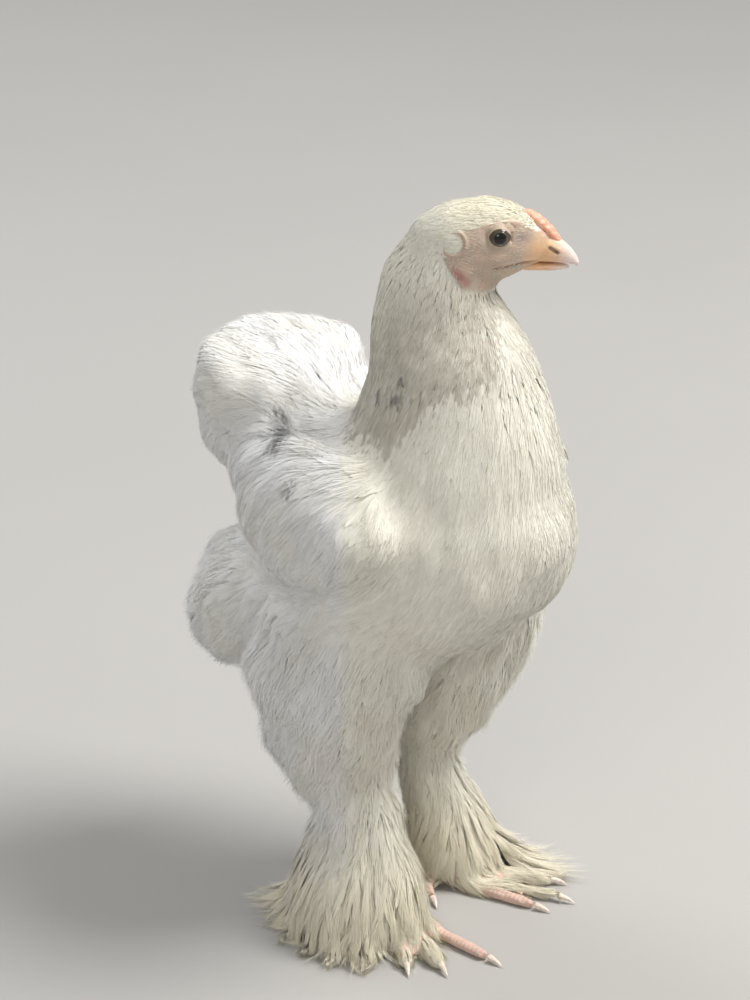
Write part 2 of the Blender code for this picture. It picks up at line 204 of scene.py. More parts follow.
def averaged(values, edges, rounds, strength=0.5):
    """Values at vertices, drawn towards their neighbours' mean again and again."""
    values = values.copy()
    count = np.bincount(edges.ravel(), minlength=len(values)).astype(float)
    count = np.maximum(count, 1).reshape((-1,) + (1,) * (values.ndim - 1))
    for _ in range(rounds):
        total = np.zeros_like(values)
        np.add.at(total, edges[:, 0], values[edges[:, 1]])
        np.add.at(total, edges[:, 1], values[edges[:, 0]])
        values += (total / count - values) * strength
    return values


def vertex_normals(vertices, triangles):
    a, b, c = (vertices[triangles[:, corner]] for corner in range(3))
    normals = np.zeros_like(vertices)
    for corner in range(3):
        np.add.at(normals, triangles[:, corner], np.cross(b - a, c - a))
    return unit(normals)


def laid_flat(vectors, normals):
    """Vectors with what they have of the normals' direction taken off."""
    return vectors - normals * np.sum(vectors * normals, axis=-1, keepdims=True)


class Ground:
    """A surface that feathers grow on: vertices with normals, the lie of the coat and the part each is of."""

    def __init__(self, vertices, triangles, names):
        self.vertices = vertices
        self.triangles = triangles
        self.edges = edges_of(triangles)
        self.normals = vertex_normals(vertices, triangles)
        self.tree = BVHTree.FromPolygons(vertices.tolist(), triangles.tolist())
        self.names = names
        self.part = nearest_node(vertices, names)
        # The lie starts as its part's own direction, and is evened out
        lie = np.empty_like(vertices)
        for index, name in enumerate(names):
            chosen = self.part == index
            lie[chosen] = lie_of(name, vertices[chosen])
        for _ in range(8):
            lie = averaged(unit(laid_flat(lie, self.normals)), self.edges, 4)
        self.lie = unit(laid_flat(lie, self.normals))

    def read(self, points):
        """(nearest places on the surface, normals, lie) for an array of points."""
        nearest = [self.tree.find_nearest(point) for point in points.tolist()]
        places = np.array([found[0] for found in nearest])
        corners = self.triangles[[found[2] for found in nearest]]
        weights = corner_weights(places, self.vertices[corners])[:, :, None]
        normals = unit((self.normals[corners] * weights).sum(axis=1))
        lie = (self.lie[corners] * weights).sum(axis=1)
        return places, normals, unit(laid_flat(lie, normals))


def corner_weights(points, corners):
    """How near each point is to each corner of its triangle, as shares that add to 1."""
    a, b, c = corners[:, 0], corners[:, 1], corners[:, 2]
    across = np.cross(b - a, c - a)
    area = np.maximum(np.sum(across * across, axis=1), 1e-20)
    second = np.sum(np.cross(points - a, c - a) * across, axis=1) / area
    third = np.sum(np.cross(b - a, points - a) * across, axis=1) / area
    weights = np.clip(np.stack([1 - second - third, second, third], axis=1), 0, 1)
    return weights / weights.sum(axis=1, keepdims=True)


def nearest_node(points, names):
    """For each point, the index in names of the CAD node that it is nearest to."""
    vertices, triangles, owner = [], [], []
    for index, name in enumerate(names):
        mesh = NODES[name].data
        mesh.calc_loop_triangles()
        start = len(vertices)
        vertices += [vertex.co[:] for vertex in mesh.vertices]
        triangles += [[start + corner for corner in triangle.vertices] for triangle in mesh.loop_triangles]
        owner += [index] * len(mesh.loop_triangles)
    tree = BVHTree.FromPolygons(vertices, triangles)
    return np.array([owner[tree.find_nearest(point)[2]] for point in points.tolist()])


def lie_of(name, points):
    """Which way the feathers of a part of the body lie, at an array of points."""
    forward, left, up = bird_ways(points)
    side = np.sign(left)
    if name == "head":
        back = np.array(HEAD_TURN @ way(-1, 0, -0.25))
        local = head_local(points)
        return back + np.outer(smooth(-0.01, -0.03, local[:, 2] + local[:, 0] * 0.3), (0, 0, -0.9))
    if name.startswith("toe"):
        return np.tile(axis_of(name)[1] - np.array((0, 0, 0.15)), (len(points), 1))
    chest = smooth(-0.02, 0.07, forward)
    ways = {
        "neck": (-0.22, 0.06, -1.0),
        "trunk": (0.55 * chest - 1.0, 0.1, -0.12 - 0.75 * chest),
        "tail": (-1.0, 0.15, -0.25 - 0.6 * smooth(0.300, 0.260, up)),
        "rear_fluff": (-0.8, 0.1, -0.7),
        "wing": (-0.75, -0.10, -0.65 - 0.9 * smooth(0.300, 0.250, up)),
        "thigh": (-0.45, 0.05, -1.0),
    }
    other = (-0.05, 0.15, -1.0)
    ahead, outward, high = next((ways[start] for start in ways if name.startswith(start)), other)
    outward = outward * side
    if name.startswith(("shank", "foot")):
        # Boots hang straight down and spread out over the floor
        centre = FAN_CENTRE[name.rsplit("_", 1)[-1]]
        spread = unit(np.stack([forward - centre[0], left - centre[1]], axis=1))
        flare = 1.6 if name.startswith("foot_feathers") else 1.3 * smooth(0.060, 0.012, up)
        ahead, outward = spread[:, 0] * flare + ahead, spread[:, 1] * flare + outward
    ahead, outward, high = np.broadcast_arrays(ahead, outward, high)
    return np.stack([outward, -ahead, high], axis=1)


# Feathers


def scattered(ground, chosen, spacing):
    """Places on the chosen triangles of a surface, spread evenly and at least this far apart."""
    corners = ground.vertices[ground.triangles[chosen]]
    across = np.cross(corners[:, 1] - corners[:, 0], corners[:, 2] - corners[:, 0])
    area = np.linalg.norm(across, axis=1)
    tries = int(area.sum() / 2 / spacing**2 * TRIES) + 1
    picked = rng.choice(len(area), tries, p=area / area.sum())
    first = np.sqrt(rng.random(tries))[:, None]
    second = rng.random(tries)[:, None]
    trio = corners[picked]
    points = trio[:, 0] * (1 - first) + trio[:, 1] * first * (1 - second) + trio[:, 2] * first * second
    taken = {}
    kept = []
    steps = [(x, y, z) for x in (-1, 0, 1) for y in (-1, 0, 1) for z in (-1, 0, 1)]
    for (x, y, z), point in zip(np.floor(points / spacing).astype(int).tolist(), points.tolist()):
        others = (other for i, j, k in steps for other in taken.get((x + i, y + j, z + k), ()))
        if all(math.dist(point, other) >= spacing for other in others):
            taken.setdefault((x, y, z), []).append(point)
            kept.append(point)
    return np.array(kept)


def turned(ways, normals, angles):
    """Directions turned about the normals by angles in radians."""
    cosine = np.cos(angles)[:, None]
    return ways * cosine + np.cross(normals, ways) * np.sin(angles)[:, None]


def grown(ground, roots, lengths, steps, stiff, swing):
    """Paths from the roots along the lie of the coat: places, normals and ways, each (count, steps + 1, 3).

    stiff is how far a feather runs straight on where the surface curves away.
    """
    here, normals, lie = ground.read(roots)
    ways = turned(lie, normals, swing)
    track = []
    for step in range(steps + 1):
        track.append((here, normals, ways))
        ahead = here + ways * (lengths / steps)[:, None]
        foot, new_normals, lie = ground.read(ahead)
        here = foot * (1 - stiff) + ahead * stiff
        wanted = turned(lie, new_normals, swing * 0.8)
        ways = unit(ways * (0.35 + 0.5 * stiff) + wanted * (0.65 - 0.5 * stiff))
        normals = unit(laid_flat(unit(normals * stiff + new_normals * (1 - stiff)), ways))
    return [np.stack(kind, axis=1) for kind in zip(*track)]


def read_along(rows, shares):
    """Rows (count, n + 1, 3) read at shares (count, k) from 0 to 1 -> (count, k, 3)."""
    last = rows.shape[1] - 1
    place = np.clip(shares, 0, 1) * last
    low = np.minimum(place.astype(int), last - 1)
    part = (place - low)[:, :, None]
    index = np.arange(len(rows))[:, None]
    return rows[index, low] * (1 - part) + rows[index, low + 1] * part


FLOOR_CLEARANCE = 0.0006


class Coat:
    """One coat piece: feathers gathered as arrays, then made into a mesh with its OFBake map."""

    def __init__(self, name):
        self.name = name
        self.batches = []
        self.count = 0
        self.feathers = 0

    def add(self, triangles, *values):
        """Adds triangles, and the places, normals, patches and vane places of their vertices."""
        self.batches.append([triangles.reshape(-1, 3) + self.count])
        self.batches[-1] += [value.reshape(-1, value.shape[-1]) for value in values]
        self.count += len(self.batches[-1][1])

    def made(self, finish):
        triangles, vertices, normals, patches, vanes = (np.concatenate(kind) for kind in zip(*self.batches))
        vertices[:, 2] = np.maximum(vertices[:, 2], FLOOR_CLEARANCE)
        piece = object_of(self.name, vertices, triangles, finish)
        mesh = piece.data
        for name, places in (("OFBake", patches), ("vane", vanes)):
            mesh.uv_layers.new(name=name).uv.foreach_set("vector", places[triangles.ravel()].ravel())
        mesh.uv_layers.active = mesh.uv_layers["OFBake"]
        mesh.normals_split_custom_set_from_vertices(normals.tolist())
        return piece


def object_of(name, vertices, triangles, finish):
    """A smooth mesh object from arrays."""
    mesh = bpy.data.meshes.new(name)
    mesh.vertices.add(len(vertices))
    mesh.vertices.foreach_set("co", np.asarray(vertices, np.float32).ravel())
    mesh.loops.add(len(triangles) * 3)
    mesh.loops.foreach_set("vertex_index", np.asarray(triangles, np.int32).ravel())
    mesh.polygons.add(len(triangles))
    mesh.polygons.foreach_set("loop_start", np.arange(len(triangles), dtype=np.int32) * 3)
    mesh.update(calc_edges=True)
    mesh.shade_smooth()
    mesh.materials.append(finish)
    return linked(name, mesh)


def unwrapped(ground, part, roots):
    """Where each root lies on an unwrap of its part: round the part's long axis, and along it."""
    own = ground.vertices[np.isin(ground.part, part)]
    centre = own.mean(axis=0)
    _, _, axes = np.linalg.svd(own - centre, full_matrices=False)
    spread = (own - centre) @ axes[0]
    local = (roots - centre) @ axes.T
    around = np.arctan2(local[:, 1], local[:, 2]) / math.tau + 0.5
    along = (local[:, 0] - spread.min()) / (spread.max() - spread.min())
    return np.clip(np.stack([around, along], axis=1), 0.0, 1.0) * 0.98 + 0.01


PATCH = 0.003  # width of a feather's patch on its OFBake map
VANE_STEP = 10.0  # room for one feather on the vane map
VANE_LENGTH = 0.80  # shares of a plume's length and width that its vane takes; the strands go on past it
VANE_WIDTH = 0.70
STRAND_LIFT = 0.0002  # by which strands lie over their vane


def rooted(share):
    """How wide a feather is towards its root, as a share of its width."""
    return 0.35 + 0.65 * smooth(0.0, 0.45, share)


def plume(ground, coat, part, roots, size, course=None):
    """Adds a soft feather at each root: a vane, and fine strands that run along it and past its edges.

    size holds length, half_width, depth of the root under the coat's surface, lift of the tip, stiff, swing
    in degrees, rows, camber, soft for how much the shading follows the body, strands, width of a strand,
    loose for how far strands rise off the vane, and wave for how much they sway. course gives paths in place
    of grown ones.
    """
    count = len(roots)
    if not count:
        return
    rows = size["rows"]
    lengths = size["length"] * rng.uniform(0.8, 1.15, count)
    widths = size["half_width"] * rng.uniform(0.85, 1.12, count)
    swing = np.radians(rng.normal(0, size["swing"], count))
    places, normals, ways = course or grown(ground, roots, lengths, rows, size["stiff"], swing)
    tracks = (places, normals, np.cross(normals, ways), ways)
    lift = size["lift"] * rng.uniform(0.3, 1.5, count)
    root_uv = unwrapped(ground, part, roots)
    numbers = (coat.feathers + np.arange(count) + 0.5) * VANE_STEP

    def fitted(values, share):
        """One value for each feather, in the shape of the shares."""
        return values.reshape((count,) + (1,) * (share.ndim - 1))

    def laid(share, offset, rise):
        """Places, normals, sideways and shading at shares of the length and offsets in half widths."""
        centre, normal, sideways, ahead = (
            read_along(track, share.reshape(count, -1)).reshape(share.shape + (3,)) for track in tracks
        )
        reach = fitted(widths, share) * offset
        level = fitted(lift, share) * share**2.2 - size["depth"] * np.clip(1 - share, 0, 1) ** 4 + rise
        level -= size["camber"] * reach * offset
        past = np.clip(share - 1, 0, 1) * fitted(lengths, share)
        place = centre + normal * level[..., None] + sideways * reach[..., None] + ahead * past[..., None]
        lean = (1 - size["soft"]) * 2 * size["camber"] * offset
        return place, normal, sideways, unit(normal + sideways * lean[..., None])

    def stored(vertices, cell, shading, share, offset):
        """Adds pieces to the coat that are all alike, each with the triangles of cell, and maps them."""
        starts = np.arange(0, vertices.size // 3, cell.max() + 1)
        patch = PATCH * np.clip(np.stack([offset * 0.3, (share - 0.5) * 0.6], axis=-1), -0.5, 0.5)
        patch += np.stack([fitted(column, share) for column in root_uv.T], axis=-1)
        vane = [fitted(numbers, share) + offset * 0.8, share * fitted(lengths, share) * 100]
        coat.add(cell + starts[:, None, None], vertices, shading, patch, np.stack(vane, axis=-1))

    share = np.broadcast_to(np.linspace(0, VANE_LENGTH, rows + 1)[None, :, None], (count, rows + 1, 3))
    # The tip stays a little wide, because the shading of a face with no area comes out wrong
    narrowing = np.sqrt(np.clip(1 - smooth(0.35, VANE_LENGTH, share) ** 1.5, 0.006, 1))
    offset = VANE_WIDTH * rooted(share) * narrowing * np.array((-1.0, 0.0, 1.0))
    vertices, _, _, shading = laid(share, offset, 0)
    grid = np.arange((rows + 1) * 3).reshape(rows + 1, 3)
    a, b, c, d = grid[:-1, :-1].ravel(), grid[:-1, 1:].ravel(), grid[1:, 1:].ravel(), grid[1:, :-1].ravel()
    cell = np.concatenate([np.stack([a, c, b], axis=1), np.stack([a, d, c], axis=1)])
    stored(vertices, cell, shading, share, offset)

    along = np.linspace(0, 1, rows + 1)[None, None, :]
    spots = (count, size["strands"], 1)
    first = rng.uniform(0.0, 0.45, spots)
    last = rng.uniform(0.72, 1.16, spots)
    share = first + (last - first) * along
    start = rng.uniform(-0.6, 0.6, spots)
    end = start * 1.7 + rng.normal(0, 0.18, spots)
    sway = size["wave"] * np.sin(rng.uniform(0, math.tau, spots) + along * 5.0) * along
    offset = start + (end - start) * along**1.3 + sway
    offset = offset * rooted(share) * (1 - 0.5 * smooth(0.6, 1.15, share))
    rise = size["loose"] * rng.uniform(0.05, 1.0, spots) * along**1.5 + STRAND_LIFT
    line, normal, sideways, shading = laid(share, offset, rise)
    width = size["width"] * rng.uniform(0.6, 1.3, spots) * (1 - along**2.5 * 0.9) / 2
    edge = unit(sideways + normal * rng.uniform(-0.25, 0.25, spots)[..., None]) * width[..., None]
    vertices = np.stack([line - edge, line + edge], axis=3)
    step = np.arange(rows)[:, None] * 2
    cell = np.concatenate([step + np.array([0, 3, 1]), step + np.array([0, 2, 3])])
    share = np.repeat(share[..., None], 2, axis=3)
    shading = np.repeat(shading[:, :, :, None, :], 2, axis=3)
    stored(vertices, cell, shading, share, np.stack([offset - 0.04, offset + 0.04], axis=3))
    coat.feathers += count


# Materials

WHITE = (0.86, 0.865, 0.86)
CREAM_WHITE = (0.86, 0.84, 0.745)
CREAM = (0.88, 0.83, 0.66)
WARM_TINT = (0.84, 0.80, 0.70)
# The hackle's grey: partly its own colour, partly painted shade of the neck's side
HACKLE_GREY_AND_SHADE = (0.56, 0.52, 0.44)
DARK_SPOT = (0.13, 0.13, 0.13)
FOOT_CREAM = (0.80, 0.74, 0.58)
FACE_PINK = (0.54, 0.40, 0.31)
FACE_GREY = (0.49, 0.40, 0.31)
FACE_PALE = (0.70, 0.56, 0.50)
LID = (0.42, 0.33, 0.22)
LORE = (0.33, 0.24, 0.25)
LOBE_RED = (0.36, 0.10, 0.10)
COMB_RED = (0.82, 0.36, 0.24)
COMB_PALE = (0.84, 0.48, 0.34)
BROW_RED = (0.74, 0.34, 0.22)
TOE_PINK = (0.62, 0.44, 0.37)
TOE_PALE = (0.70, 0.50, 0.41)
SCALE_PALE = (0.74, 0.60, 0.51)
BILL_PEACH = (0.80, 0.50, 0.28)
BILL_TIP = (0.84, 0.72, 0.68)
# Painted shade inside the nostrils' slits
NOSTRIL_SHADE = (0.12, 0.06, 0.035)
CLAW_BASE = (0.72, 0.58, 0.48)
CLAW_PALE = (0.84, 0.76, 0.68)

# Dark feather spots: (forward, left, up) of the middle, then its radius; most are on the right side
SPOTS = (
    (0.0159, -0.0421, 0.3169, 0.0040), (0.0178, -0.0390, 0.3262, 0.0026), (0.0027, -0.0397, 0.3154, 0.0026),
    (-0.0600, -0.0430, 0.2868, 0.0062), (-0.0520, -0.0510, 0.2872, 0.0062),
    (-0.0468, -0.0564, 0.2875, 0.0066), (-0.0474, -0.0635, 0.2829, 0.0052),
    (-0.0229, -0.0807, 0.2709, 0.0038), (0.0140, 0.0420, 0.3180, 0.0036),
    (-0.0550, 0.0480, 0.2870, 0.0070), (-0.0260, 0.0800, 0.2700, 0.0040),
)
# Tints of the bare face: (forward, left, up) in the head's directions, radius, softness, strength and
# colour
FACE_TINTS = (
    (0.0125, 0.0125, -0.0010, 0.0062, 0.80, 0.70, LORE),
    (0.0000, EYE_SIDE, 0.0000, 0.0100, 0.60, 0.55, LID),
    (-0.0205, 0.0165, -0.0190, 0.0042, 0.80, 0.45, LOBE_RED),
    (-0.0175, 0.0165, -0.0212, 0.0042, 0.80, 0.70, LOBE_RED),
    (-0.0142, 0.0165, -0.0245, 0.0042, 0.80, 0.45, LOBE_RED),
    (0.0210, 0.0060, -0.0080, 0.0135, 0.95, 0.95, BILL_PEACH),
)


def put(tree, kind, inputs=None, **settings):
    """Adds a node with these settings; inputs may be values or the sockets that feed them."""
    made = tree.nodes.new(kind)
    for key, value in settings.items():
        setattr(made, key, value)
    for key, value in (inputs or {}).items():
        if isinstance(value, bpy.types.NodeSocket):
            tree.links.new(value, made.inputs[key])
        else:
            made.inputs[key].default_value = value
    return made


def rgba(colour):
    return (*colour, 1.0) if isinstance(colour, tuple) else colour


def mixed(tree, share, low, high, blend="MIX"):
    """Colour socket going from low to high with share; MULTIPLY as blend goes to low times high."""
    inputs = {0: share, 6: rgba(low), 7: rgba(high)}
    return put(tree, "ShaderNodeMix", inputs, data_type="RGBA", blend_type=blend).outputs[2]


def ramp(tree, value, start, end, low=0.0, high=1.0, kind="SMOOTHSTEP"):
    """Value socket going from low at start to high at end, smoothly or as LINEAR kind says."""
    if start > end:
        start, end, low, high = end, start, high, low
    inputs = {"Value": value, "From Min": start, "From Max": end, "To Min": low, "To Max": high}
    return put(tree, "ShaderNodeMapRange", inputs, interpolation_type=kind).outputs[0]


def maths(tree, operation, first, second=0.0):
    return put(tree, "ShaderNodeMath", {0: first, 1: second}, operation=operation).outputs[0]


def vector(tree, operation, *inputs):
    """Output sockets of a vector calculation."""
    return put(tree, "ShaderNodeVectorMath", dict(enumerate(inputs)), operation=operation).outputs


def noise(tree, place, scale, detail=3.0, roughness=0.5):
    """Value socket of noise at a place socket."""
    inputs = {"Vector": place, "Scale": scale, "Detail": detail, "Roughness": roughness}
    return put(tree, "ShaderNodeTexNoise", inputs).outputs["Fac"]


def spot(tree, place, centre, radius, soft):
    """1 within a ball round the centre, falling to 0 at its edge."""
    return ramp(tree, vector(tree, "DISTANCE", place, centre)["Value"], radius, radius * (1 - soft))


def tinted(tree, place, colour, tints):
    """Colour socket with round tints on it, each given as (centre, radius, softness, strength, colour)."""
    for centre, radius, soft, strength, tint in tints:
        colour = mixed(tree, product(tree, spot(tree, place, centre, radius, soft), strength), colour, tint)
    return colour


def mottled(tree, grains, low, high):
    """Colour socket going from low to high with the grains of a noise."""
    return mixed(tree, ramp(tree, grains, 0.35, 0.65), low, high)


def new_finish(name, roughness, **sockets):
    """A material with a place socket on it: (material, node tree, place)."""
    made = bpy.data.materials.new(name)
    made.use_nodes = True
    shader = made.node_tree.nodes["Principled BSDF"]
    shader.inputs["Roughness"].default_value = roughness
    for key, value in sockets.items():
        shader.inputs[key.replace("_", " ")].default_value = value
    return made, made.node_tree, put(made.node_tree, "ShaderNodeTexCoord").outputs["Object"]


def coloured(tree, colour, height=None, strength=0.0, distance=0.0):
    """Gives a material its colour, and a bump where a height is given."""
    shader = tree.nodes["Principled BSDF"]
    tree.links.new(colour, shader.inputs["Base Color"])
    if height is not None:
        bump = put(tree, "ShaderNodeBump", {"Strength": strength, "Distance": distance, "Height": height})
        tree.links.new(bump.outputs[0], shader.inputs["Normal"])


def product(tree, *values):
    result = values[0]
    for value in values[1:]:
        result = maths(tree, "MULTIPLY", result, value)
    return result


def coat_colour(tree, place):
    """The markings that skin and feathers share, and the painted shade that darkens the hackle's grey."""
    _, behind, high = put(tree, "ShaderNodeSeparateXYZ", {0: place}).outputs
    # How far each point lies towards the bird's front right and front left
    facing = [
        maths(tree, "SUBTRACT", vector(tree, "DOT_PRODUCT", place, toward)["Value"], toward.dot(OFFSET))
        for toward in (Vector((0.63, -0.776, 0)), Vector((-0.63, -0.776, 0)))
    ]
    nearer = maths(tree, "MINIMUM", *facing)
    colour = mixed(tree, ramp(tree, nearer, -0.048, -0.032), WHITE, CREAM_WHITE)
    colour = mixed(tree, ramp(tree, noise(tree, place, 28.0), 0.35, 0.65, 0.0, 0.35), colour, WARM_TINT)
    colour = tinted(tree, place, colour, [(head_place(-0.004, 0, 0.012), 0.040, 0.75, 0.8, CREAM)])
    # The grey hackle, partly its own grey and partly painted shade of the neck's shaded side: it ends in a
    # ragged line that rises towards the front, fades below the head, and is left out of a strip down the
    # front of the throat, where the light falls
    stretched = vector(tree, "MULTIPLY", place, (420.0, 420.0, 70.0))[0]
    ragged = ramp(tree, noise(tree, stretched, 1.0, 2.0), 0.3, 0.7, -0.006, 0.006, "LINEAR")
    line = ramp(tree, nearer, -0.018, 0.003, 0.2915, 0.3175, "LINEAR")
    line = maths(tree, "ADD", line, ramp(tree, nearer, 0.003, 0.040, 0.0, 0.0125, "LINEAR"))
    over = maths(tree, "ADD", maths(tree, "SUBTRACT", high, line), ragged)
    throat = product(
        tree, ramp(tree, maths(tree, "ADD", facing[0], ragged), 0.035, 0.040),
        ramp(tree, facing[1], -0.012, -0.004),
    )
    top = maths(tree, "SUBTRACT", high, ramp(tree, nearer, -0.03, 0.03, -0.014, 0.022, "LINEAR"))
    hackle_grey_and_shade = product(
        tree, ramp(tree, over, -0.002, 0.003), ramp(tree, top, 0.384, 0.342),
        ramp(tree, behind, at(-0.036, 0, 0).y, at(-0.022, 0, 0).y), maths(tree, "SUBTRACT", 1.0, throat),
    )
    mottle = ramp(tree, noise(tree, stretched, 0.5, 4.0), 0.30, 0.70, 0.55, 0.95)
    colour = mixed(tree, product(tree, hackle_grey_and_shade, mottle), colour, HACKLE_GREY_AND_SHADE)
    # The dark spots are frayed along the feathers
    ruffle = put(tree, "ShaderNodeTexNoise", {"Vector": stretched, "Scale": 1.0, "Detail": 2.0})
    frayed = vector(tree, "MULTIPLY_ADD", ruffle.outputs["Color"], (0.012, 0.012, 0.020), place)[0]
    middle = Vector((0.006, 0.006, 0.010))
    spots = [(at(*centre) + middle, radius * 1.6, 0.9, 0.8, DARK_SPOT) for *centre, radius in SPOTS]
    colour = tinted(tree, frayed, colour, spots)
    return mixed(tree, ramp(tree, high, 0.075, 0.020, 0.0, 0.8), colour, FOOT_CREAM)


def feather_finish():
    """White feathers: the shared markings, each feather a little different, with fine barb lines."""
    made, tree, place = new_finish("feather_white", 0.62, Sheen_Weight=0.25, Sheen_Roughness=0.5)
    vane = put(tree, "ShaderNodeUVMap", uv_map="vane").outputs["UV"]
    across = put(tree, "ShaderNodeSeparateXYZ", {0: vane}).outputs[0]
    number = maths(tree, "FLOOR", maths(tree, "DIVIDE", across, VANE_STEP))
    own = put(tree, "ShaderNodeTexWhiteNoise", {"W": number}, noise_dimensions="1D").outputs["Value"]
    lines = noise(tree, vector(tree, "MULTIPLY", vane, (14.0, 1.6, 1.0))[0], 1.0, 2.0)
    shade = maths(tree, "ADD", maths(tree, "MULTIPLY", own, 0.09), maths(tree, "MULTIPLY", lines, 0.16))
    colour = mixed(tree, shade, coat_colour(tree, place), (0.80, 0.79, 0.77), "MULTIPLY")
    coloured(tree, colour, lines, 0.35, 0.0004)
    return made


def skin_finish():
    """Skin: under the feathers it carries their colours, and it is pink where the face and toes are bare,
    with painted shade in its creases.
    """
    made, tree, place = new_finish("skin", 0.55, Subsurface_Weight=0.15, Subsurface_Scale=0.003)
    bare, toe, crease = (
        put(tree, "ShaderNodeAttribute", attribute_name=name).outputs["Fac"]
        for name in ("bare", "toe", "crease")
    )
    fine = noise(tree, place, 700.0, 4.0)
    broad = noise(tree, place, 120.0)
    face = mottled(tree, broad, FACE_PINK, FACE_GREY)
    face = mixed(tree, ramp(tree, fine, 0.45, 0.75, 0.0, 0.35), face, FACE_PALE)
    for side in (1, -1):
        tints = [(head_place(ahead, left * side, up), *looks) for ahead, left, up, *looks in FACE_TINTS]
        face = tinted(tree, place, face, tints)
    face = tinted(tree, place, face, [(head_place(0.018, 0, 0.008), 0.011, 0.8, 0.7, BROW_RED)])
    foot = mottled(tree, broad, TOE_PINK, TOE_PALE)
    foot = mixed(tree, ramp(tree, fine, 0.5, 0.7, 0.0, 0.3), foot, SCALE_PALE)
    colour = mixed(tree, bare, coat_colour(tree, place), face)
    colour = mixed(tree, toe, colour, foot)
    # Painted shade: darker in the face's folds, along the mouth's gape and in the lines between the toes'
    # scales
    coloured(tree, mixed(tree, crease, colour, (0.62, 0.50, 0.46), "MULTIPLY"), fine, 0.5, 0.0003)
    return made


def bill_finish():
    made, tree, place = new_finish("bill_horn", 0.34, Subsurface_Weight=0.1, Subsurface_Scale=0.002)
    far = vector(tree, "DISTANCE", place, head_place(0.020, 0, -0.010))["Value"]
    streaks = noise(tree, vector(tree, "MULTIPLY", place, (300.0, 300.0, 900.0))[0], 1.0)
    colour = mixed(tree, ramp(tree, far, 0.008, 0.019), BILL_PEACH, BILL_TIP)
    colour = mixed(tree, ramp(tree, streaks, 0.35, 0.7, 0.0, 0.6), colour, (0.80, 0.72, 0.66), "MULTIPLY")
    # Painted shade: the nostrils' slits are darkened for the shade inside them
    slits = [
        head_place(0.0268 + 0.0042 * step, side * (0.0060 - 0.0014 * step), -0.0062 - 0.0026 * step)
        for side in (1, -1) for step in (0.0, 0.25, 0.5, 0.75, 1.0)
    ]
    colour = tinted(tree, place, colour, [(slit, 0.0015, 0.7, 0.8, NOSTRIL_SHADE) for slit in slits])
    coloured(tree, colour, streaks, 0.25, 0.0002)
    shine = ramp(tree, streaks, 0.3, 0.7, 0.28, 0.45)
    tree.links.new(shine, tree.nodes["Principled BSDF"].inputs["Roughness"])
    return made


def grainy_finish(name, roughness, grain, colours, bump, **sockets):
    """A material that follows its grains: grain is (scale, detail), and bump (strength, distance)."""
    made, tree, place = new_finish(name, roughness, **sockets)
    grains = noise(tree, place, *grain)
    coloured(tree, mottled(tree, grains, *colours), grains, *bump)
    return made


def eye_finish(name, centre, outward):
    """A wet dark eye: black pupil, grey-brown iris with fine rays, and a dark rim."""
    made, tree, place = new_finish(name, 0.16, Coat_Weight=0.5, Coat_Roughness=0.03, Specular_IOR_Level=0.3)
    moved = vector(tree, "SUBTRACT", place, centre)[0]
    along = vector(tree, "DOT_PRODUCT", moved, outward)["Value"]
    # How far out along the eye's axis the edges of pupil and iris lie on the ball
    pupil = math.sqrt(EYE_RADIUS**2 - PUPIL_RADIUS**2)
    rim = math.sqrt(EYE_RADIUS**2 - IRIS_RADIUS**2)
    rays = noise(tree, vector(tree, "NORMALIZE", moved)[0], 26.0, 4.0)
    iris = mottled(tree, rays, (0.045, 0.034, 0.022), (0.105, 0.082, 0.052))
    colour = mixed(tree, ramp(tree, along, rim - 0.0004, rim + 0.0003), (0.03, 0.022, 0.02), iris)
    colour = mixed(tree, ramp(tree, along, pupil - 0.0001, pupil + 0.0001), colour, (0.004, 0.004, 0.004))
    coloured(tree, colour)
    return made


# Skin

EARLOBES = ["earlobe_left", "earlobe_right"]
SKIN_NODES = FLESH + TOES + PADS + EARLOBES
SWELL = 0.0010  # by which the nodes are swollen to close the gaps between them before they become one skin
SKIN_VOXEL = 0.0026
FAN_VOXEL = 0.0018
CLAW_VOXEL = 0.0004
CREASE_ROUNDS = 45
COAT_DEPTH = {
    "trunk": 0.0014, "neck": 0.0010, "head": 0.0006, "rear_fluff": 0.0018, "tail": 0.0016, "wing": 0.0013,
    "thigh": 0.0016, "shank": 0.0014, "toe": 0.0, "foot": 0.0, "earlobe": 0.0,
}
# The bare face, as (forward, up) along its upper and lower edges in the head's own directions
FACE_TOP = (
    (-0.030, -0.004), (-0.026, 0.000), (-0.016, 0.003), (-0.007, 0.0062), (0.000, 0.0076), (0.006, 0.0084),
    (0.010, 0.0078), (0.0145, 0.0052), (0.019, 0.0028),
)
FACE_LOW = ((-0.030, -0.008), (-0.024, -0.018), (-0.016, -0.028), (-0.003, -0.030), (0.010, -0.030))
FACE_BACK = -0.0275  # forward, where the bare face ends behind
FACE_EDGE = 0.001  # over which the feathers thin out into the bare face
EAR = (-0.0225, -0.0045)  # forward, up
EAR_TUFT = 0.0044  # radius of the small feathers on the ear
# The mouth's line behind the bill, as places forward and their heights
MOUTH_LINE = ((-0.004, 0.004, 0.014, 0.030), (-0.0180, -0.0165, -0.0140, -0.0140))
# Brow, hollow before the eye and cheek: how far each stands out, its middle and width upward, and forward
FACE_BUMPS = (
    (0.0019, 0.0072, 0.0019, 0.0010, 0.0085),
    (-0.0009, -0.0010, 0.0040, 0.0125, 0.0040),
    (0.0007, -0.0125, 0.0030, -0.0040, 0.0100),
)
LID_SIDE = 0.0118  # how far out from the head's middle the skin lies behind the lids


